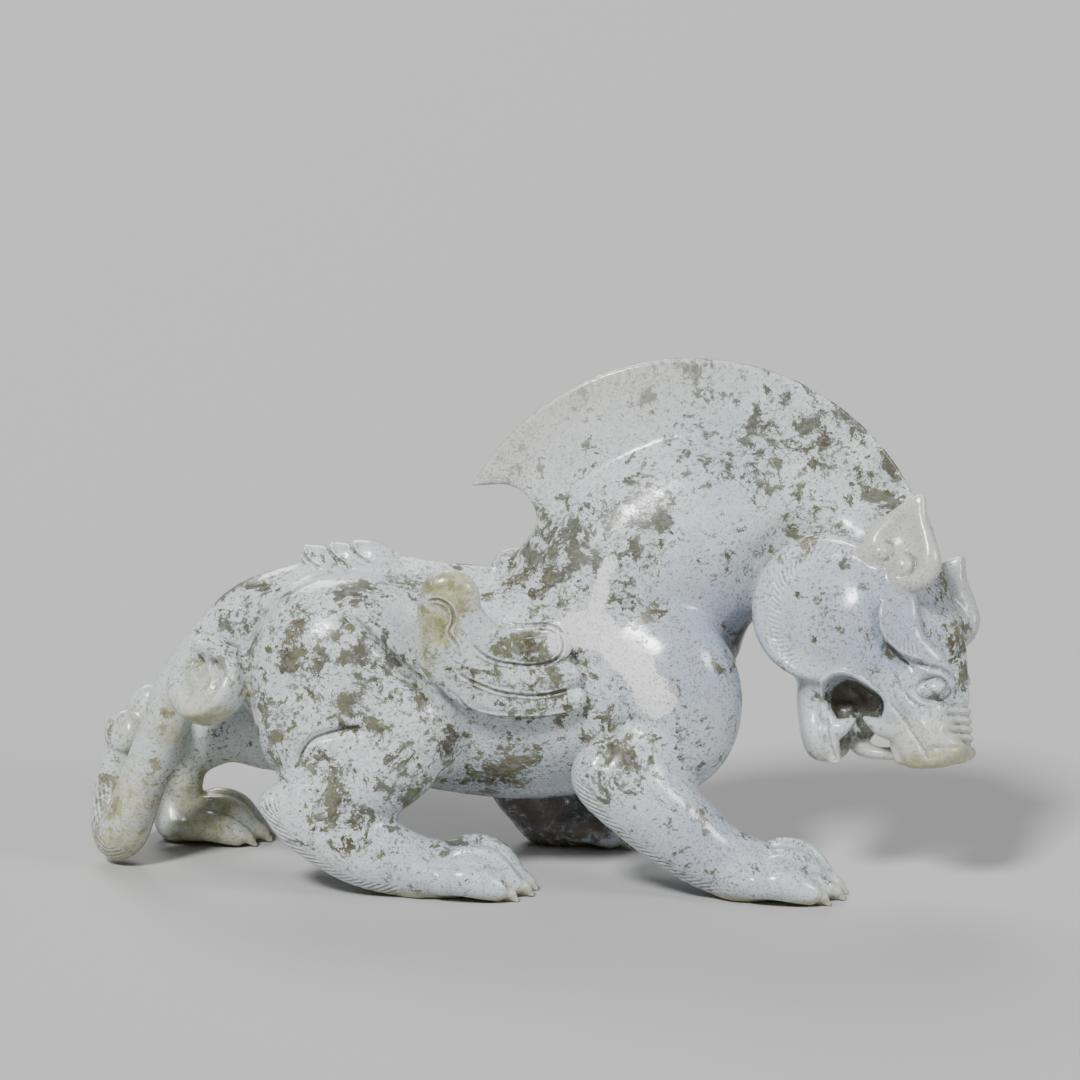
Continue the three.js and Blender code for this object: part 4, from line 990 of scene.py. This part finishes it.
def hollows():
    # How sharply the surface bends inwards at each point, in 1/mm, evened out a little
    ends = np.empty(len(carving.edges) * 2, int)
    carving.edges.foreach_get("vertices", ends)
    ends = np.concatenate([ends.reshape(-1, 2), ends.reshape(-1, 2)[:, ::-1]])
    count = np.bincount(ends[:, 0], minlength=len(p))

    def around(values):
        return np.bincount(ends[:, 0], values[ends[:, 1]], len(p)) / count
    step = np.stack([around(p[:, k]) for k in range(3)], 1) - p
    gap = np.bincount(ends[:, 0], ((p[ends[:, 1]] - p[ends[:, 0]]) ** 2).sum(1), len(p)) / count
    bend = np.clip(2 * (step * carved_normals()).sum(1) / gap, -1.5, 1.5)
    for _ in range(2):
        bend = 0.5 * bend + 0.5 * around(bend)
    return bend


# The bend is read by the material to paint shade into hollows and a highlight onto ridges
mark("hollow", hollows())
mark("stroke_share", strength)
mark("stroke_phase", phase)

jade = bpy.data.materials.new("calcified_jade")
jade.use_nodes = True
beast.data.materials.append(jade)
tree = jade.node_tree
shader = tree.nodes["Principled BSDF"]


def feed(socket, value):
    # Links another node's output to a socket, or sets a plain value
    if isinstance(value, bpy.types.NodeSocket):
        tree.links.new(value, socket)
    else:
        socket.default_value = value


def node(kind, **inputs):
    made = tree.nodes.new(kind)
    for name, value in inputs.items():
        key = name.replace("_", " ")
        if hasattr(made, name) and key not in made.inputs:
            setattr(made, name, value)
        else:
            feed(made.inputs[key], value)
    return made


def maths(operation, x, y=0.0, clamp=False):
    made = node("ShaderNodeMath", operation=operation, use_clamp=clamp)
    feed(made.inputs[0], x)
    feed(made.inputs[1], y)
    return made.outputs[0]


plus, minus, times = (functools.partial(maths, kind) for kind in ("ADD", "SUBTRACT", "MULTIPLY"))


def vector_maths(operation, *values):
    made = node("ShaderNodeVectorMath", operation=operation)
    for socket, value in zip(made.inputs, values):
        feed(socket, value)
    return made.outputs[0]


def cloud(scale, detail, roughness=0.55, at=None, output="Fac"):
    return node("ShaderNodeTexNoise", Vector=at or place, Scale=scale, Detail=detail,
                Roughness=roughness).outputs[output]


def edge(value, start, width):
    # Rises softly from 0 to 1 while the value goes on from start by the width
    return node("ShaderNodeMapRange", interpolation_type="SMOOTHSTEP", Value=value, From_Min=start,
                From_Max=plus(start, width)).outputs["Result"]


def blend_colour(share, first, second):
    made = node("ShaderNodeMix", data_type="RGBA")
    feed(made.inputs[0], share)
    for socket, value in ((made.inputs[6], first), (made.inputs[7], second)):
        feed(socket, value if isinstance(value, bpy.types.NodeSocket) else (*value, 1))
    return made.outputs[2]


def tinted(base, tint, share, most):
    return blend_colour(times(share, most), base, tint)


def painted(name):
    return node("ShaderNodeAttribute", attribute_name=name).outputs["Fac"]


def frayed(name, by):
    # A painted area whose border the patches' noise breaks up
    return plus(painted(name), times(minus(patch, 0.5), by))


SWAY = 0.006
place = node("ShaderNodeTexCoord").outputs["Object"]
sway = vector_maths("SUBTRACT", cloud(70.0, 2.0, 0.6, output="Color"), (0.5, 0.5, 0.5))
ragged = vector_maths("MULTIPLY_ADD", sway, (SWAY, SWAY, SWAY), place)

SKIN_COOL = (0.315, 0.375, 0.485)
SKIN_LILAC = (0.215, 0.23, 0.28)
SKIN_PALE = (0.56, 0.605, 0.61)
SKIN_WHITE = (0.80, 0.84, 0.85)
SKIN_GREY = (0.25, 0.27, 0.285)
IVORY = (0.50, 0.50, 0.44)
OLIVE = (0.135, 0.138, 0.068)
OLIVE_DEEP = (0.07, 0.062, 0.03)
STONE_GREY = (0.10, 0.103, 0.083)
CLEAR_YELLOW = (0.43, 0.42, 0.22)
DEEP_YELLOW = (0.26, 0.245, 0.095)
RUST_AND_MOUTH_SHADE = (0.085, 0.058, 0.042)
THIN_SKIN = (0.30, 0.315, 0.275)
CHALK = (0.84, 0.83, 0.83)
DARK_DOT = (0.13, 0.125, 0.125)
HOLLOW_SHADE = (0.15, 0.14, 0.105)
STROKE_SHADE = (0.16, 0.15, 0.12)

broad = cloud(26.0, 2.0)
cluster = cloud(80.0, 3.0, 0.6)
patch = cloud(300.0, 6.0, 0.76, at=ragged)
streaks = node("ShaderNodeMapping", Vector=ragged, Rotation=(0, 0.6, 0.2), Scale=(0.85, 1, 1.15))
fleck = cloud(950.0, 4.0, 0.8, at=streaks.outputs[0])
tint = cloud(210.0, 3.0, 0.6)
bare = painted("bare")
cool = painted("cool")

# The pale skin, bluer where it is cool, with lilac, grey and white in it
skin = tinted(SKIN_PALE, SKIN_COOL, cool, 0.9)
skin = tinted(skin, SKIN_LILAC, edge(patch, 0.44, 0.16), times(cool, 0.45))
grey_share = plus(0.14, times(bare, 0.3), clamp=True)
skin = tinted(skin, SKIN_GREY, edge(fleck, 0.48, 0.1), grey_share)
white_share = plus(0.12, times(bare, 0.6), clamp=True)
skin = tinted(skin, SKIN_WHITE, edge(patch, 0.475, 0.03), white_share)

# Olive stone in the worn patches and grey flecks, more of both where the stone is bare
worn_start = minus(0.852, times(bare, 0.15))
worn_start = minus(worn_start, times(cluster, 0.5))
worn = edge(patch, worn_start, 0.018)
thin_skin = edge(patch, minus(worn_start, 0.035), 0.05)
fleck_start = minus(0.736, times(bare, 0.075))
fleck_start = minus(fleck_start, times(cluster, 0.3))
flecks = edge(fleck, fleck_start, 0.03)
olive = blend_colour(edge(tint, 0.42, 0.16), OLIVE_DEEP, OLIVE)
olive = tinted(olive, STONE_GREY, edge(broad, 0.43, 0.12), 0.75)
olive = tinted(olive, SKIN_GREY, edge(fleck, 0.52, 0.06), 0.45)
colour = tinted(skin, THIN_SKIN, thin_skin, 0.4)
colour = tinted(colour, blend_colour(0.35, STONE_GREY, OLIVE), flecks, 0.75)
colour = blend_colour(worn, colour, olive)

# Places of their own colour, then the dots, painted shade in hollows with a painted highlight on
# ridges, and the strokes' painted shade and highlight
colour = tinted(colour, IVORY, painted("ivory"), 0.8)
colour = tinted(colour, CHALK, edge(frayed("chalk", 2.4), 0.42, 0.14), 0.9)
yellow = blend_colour(edge(tint, 0.4, 0.2), DEEP_YELLOW, CLEAR_YELLOW)
colour = tinted(colour, yellow, edge(frayed("amber", 1.8), 0.2, 0.7), 0.8)
# Brown iron stain, and painted shade inside the mouth and under the tongue
rust_and_mouth_shade = edge(plus(frayed("rust_and_mouth_shade", 3.2), minus(cluster, 0.5)), 0.4, 0.4)
colour = tinted(colour, RUST_AND_MOUTH_SHADE, rust_and_mouth_shade, 0.82)
dots = edge(cloud(2000.0, 2.0, 0.7), 0.555, 0.06)
colour = tinted(colour, DARK_DOT, dots, plus(0.4, times(cool, 0.22)))
# Painted shade: the colour turns darker where the surface bends inwards, and lighter, as a painted
# highlight, where it bends outwards
hollow = painted("hollow")
colour = tinted(colour, HOLLOW_SHADE, edge(hollow, 0.16, 0.6), 0.6)
colour = tinted(colour, SKIN_WHITE, edge(hollow, -0.25, -0.6), 0.3)
# Painted shade in the strokes' grooves and a painted highlight on their ridges
stroke_share = painted("stroke_share")
stroke_wave = maths("COSINE", times(painted("stroke_phase"), 2 * math.pi))
in_stroke = times(edge(stroke_wave, 0.0, 0.8), stroke_share)
on_ridge = times(edge(stroke_wave, -0.2, -0.7), stroke_share)
colour = tinted(colour, SKIN_WHITE, on_ridge, 0.35)
colour = tinted(colour, STROKE_SHADE, in_stroke, 0.55)

sheen = plus(0.165, times(worn, 0.09))
sheen = plus(sheen, times(tint, 0.1))
height = times(worn, -0.05)
height = minus(height, times(flecks, 0.025))
height = minus(height, times(in_stroke, 0.08))
height = plus(height, times(tint, 0.1))
bump = node("ShaderNodeBump", Distance=0.001, Strength=0.8, Height=height)
for name, value in (
    ("Base Color", colour), ("Roughness", sheen), ("Normal", bump.outputs["Normal"]),
    ("Subsurface Weight", 0.12), ("Subsurface Radius", (1.0, 0.85, 0.55)),
    ("Subsurface Scale", 0.002), ("IOR", 1.6),
):
    feed(shader.inputs[name], value)

# Floor
# A plain pale sheet that the statue stands on, matt and wide enough to fill every view.
# It is staging and no part of the statue.
bpy.ops.mesh.primitive_plane_add(size=30, location=(0, 0, 0))
floor = bpy.context.object
floor.name = "floor"
floor_paint = bpy.data.materials.new("floor_paint")
floor_paint.use_nodes = True
floor_shader = floor_paint.node_tree.nodes["Principled BSDF"]
floor_shader.inputs["Base Color"].default_value = (0.44, 0.44, 0.435, 1)
floor_shader.inputs["Roughness"].default_value = 0.8
floor.data.materials.append(floor_paint)

# Lights
# Three large soft lamps far away, so that the floor is lit evenly, and a pale surround.
# The strongest comes from the front left and above, as in the photograph.


def soft_lamp(name, towards, spread, strength):
    bpy.ops.object.light_add(type="SUN", location=towards)
    lamp = bpy.context.object
    lamp.name = name
    lamp.data.angle = math.radians(spread)
    lamp.data.energy = strength
    lamp.rotation_euler = Vector(towards).to_track_quat("Z", "Y").to_euler()


soft_lamp("key_light", (-0.35, -0.7, 0.75), 12, 4.3)
soft_lamp("right_light", (0.8, -0.45, 0.45), 15, 1.3)
soft_lamp("back_light", (-0.2, 0.8, 0.7), 28, 1.5)
world = bpy.data.worlds.new("studio")
bpy.context.scene.world = world
world.use_nodes = True
surround = world.node_tree.nodes["Background"]
surround.inputs["Color"].default_value = (0.82, 0.83, 0.85, 1)
surround.inputs["Strength"].default_value = 0.26
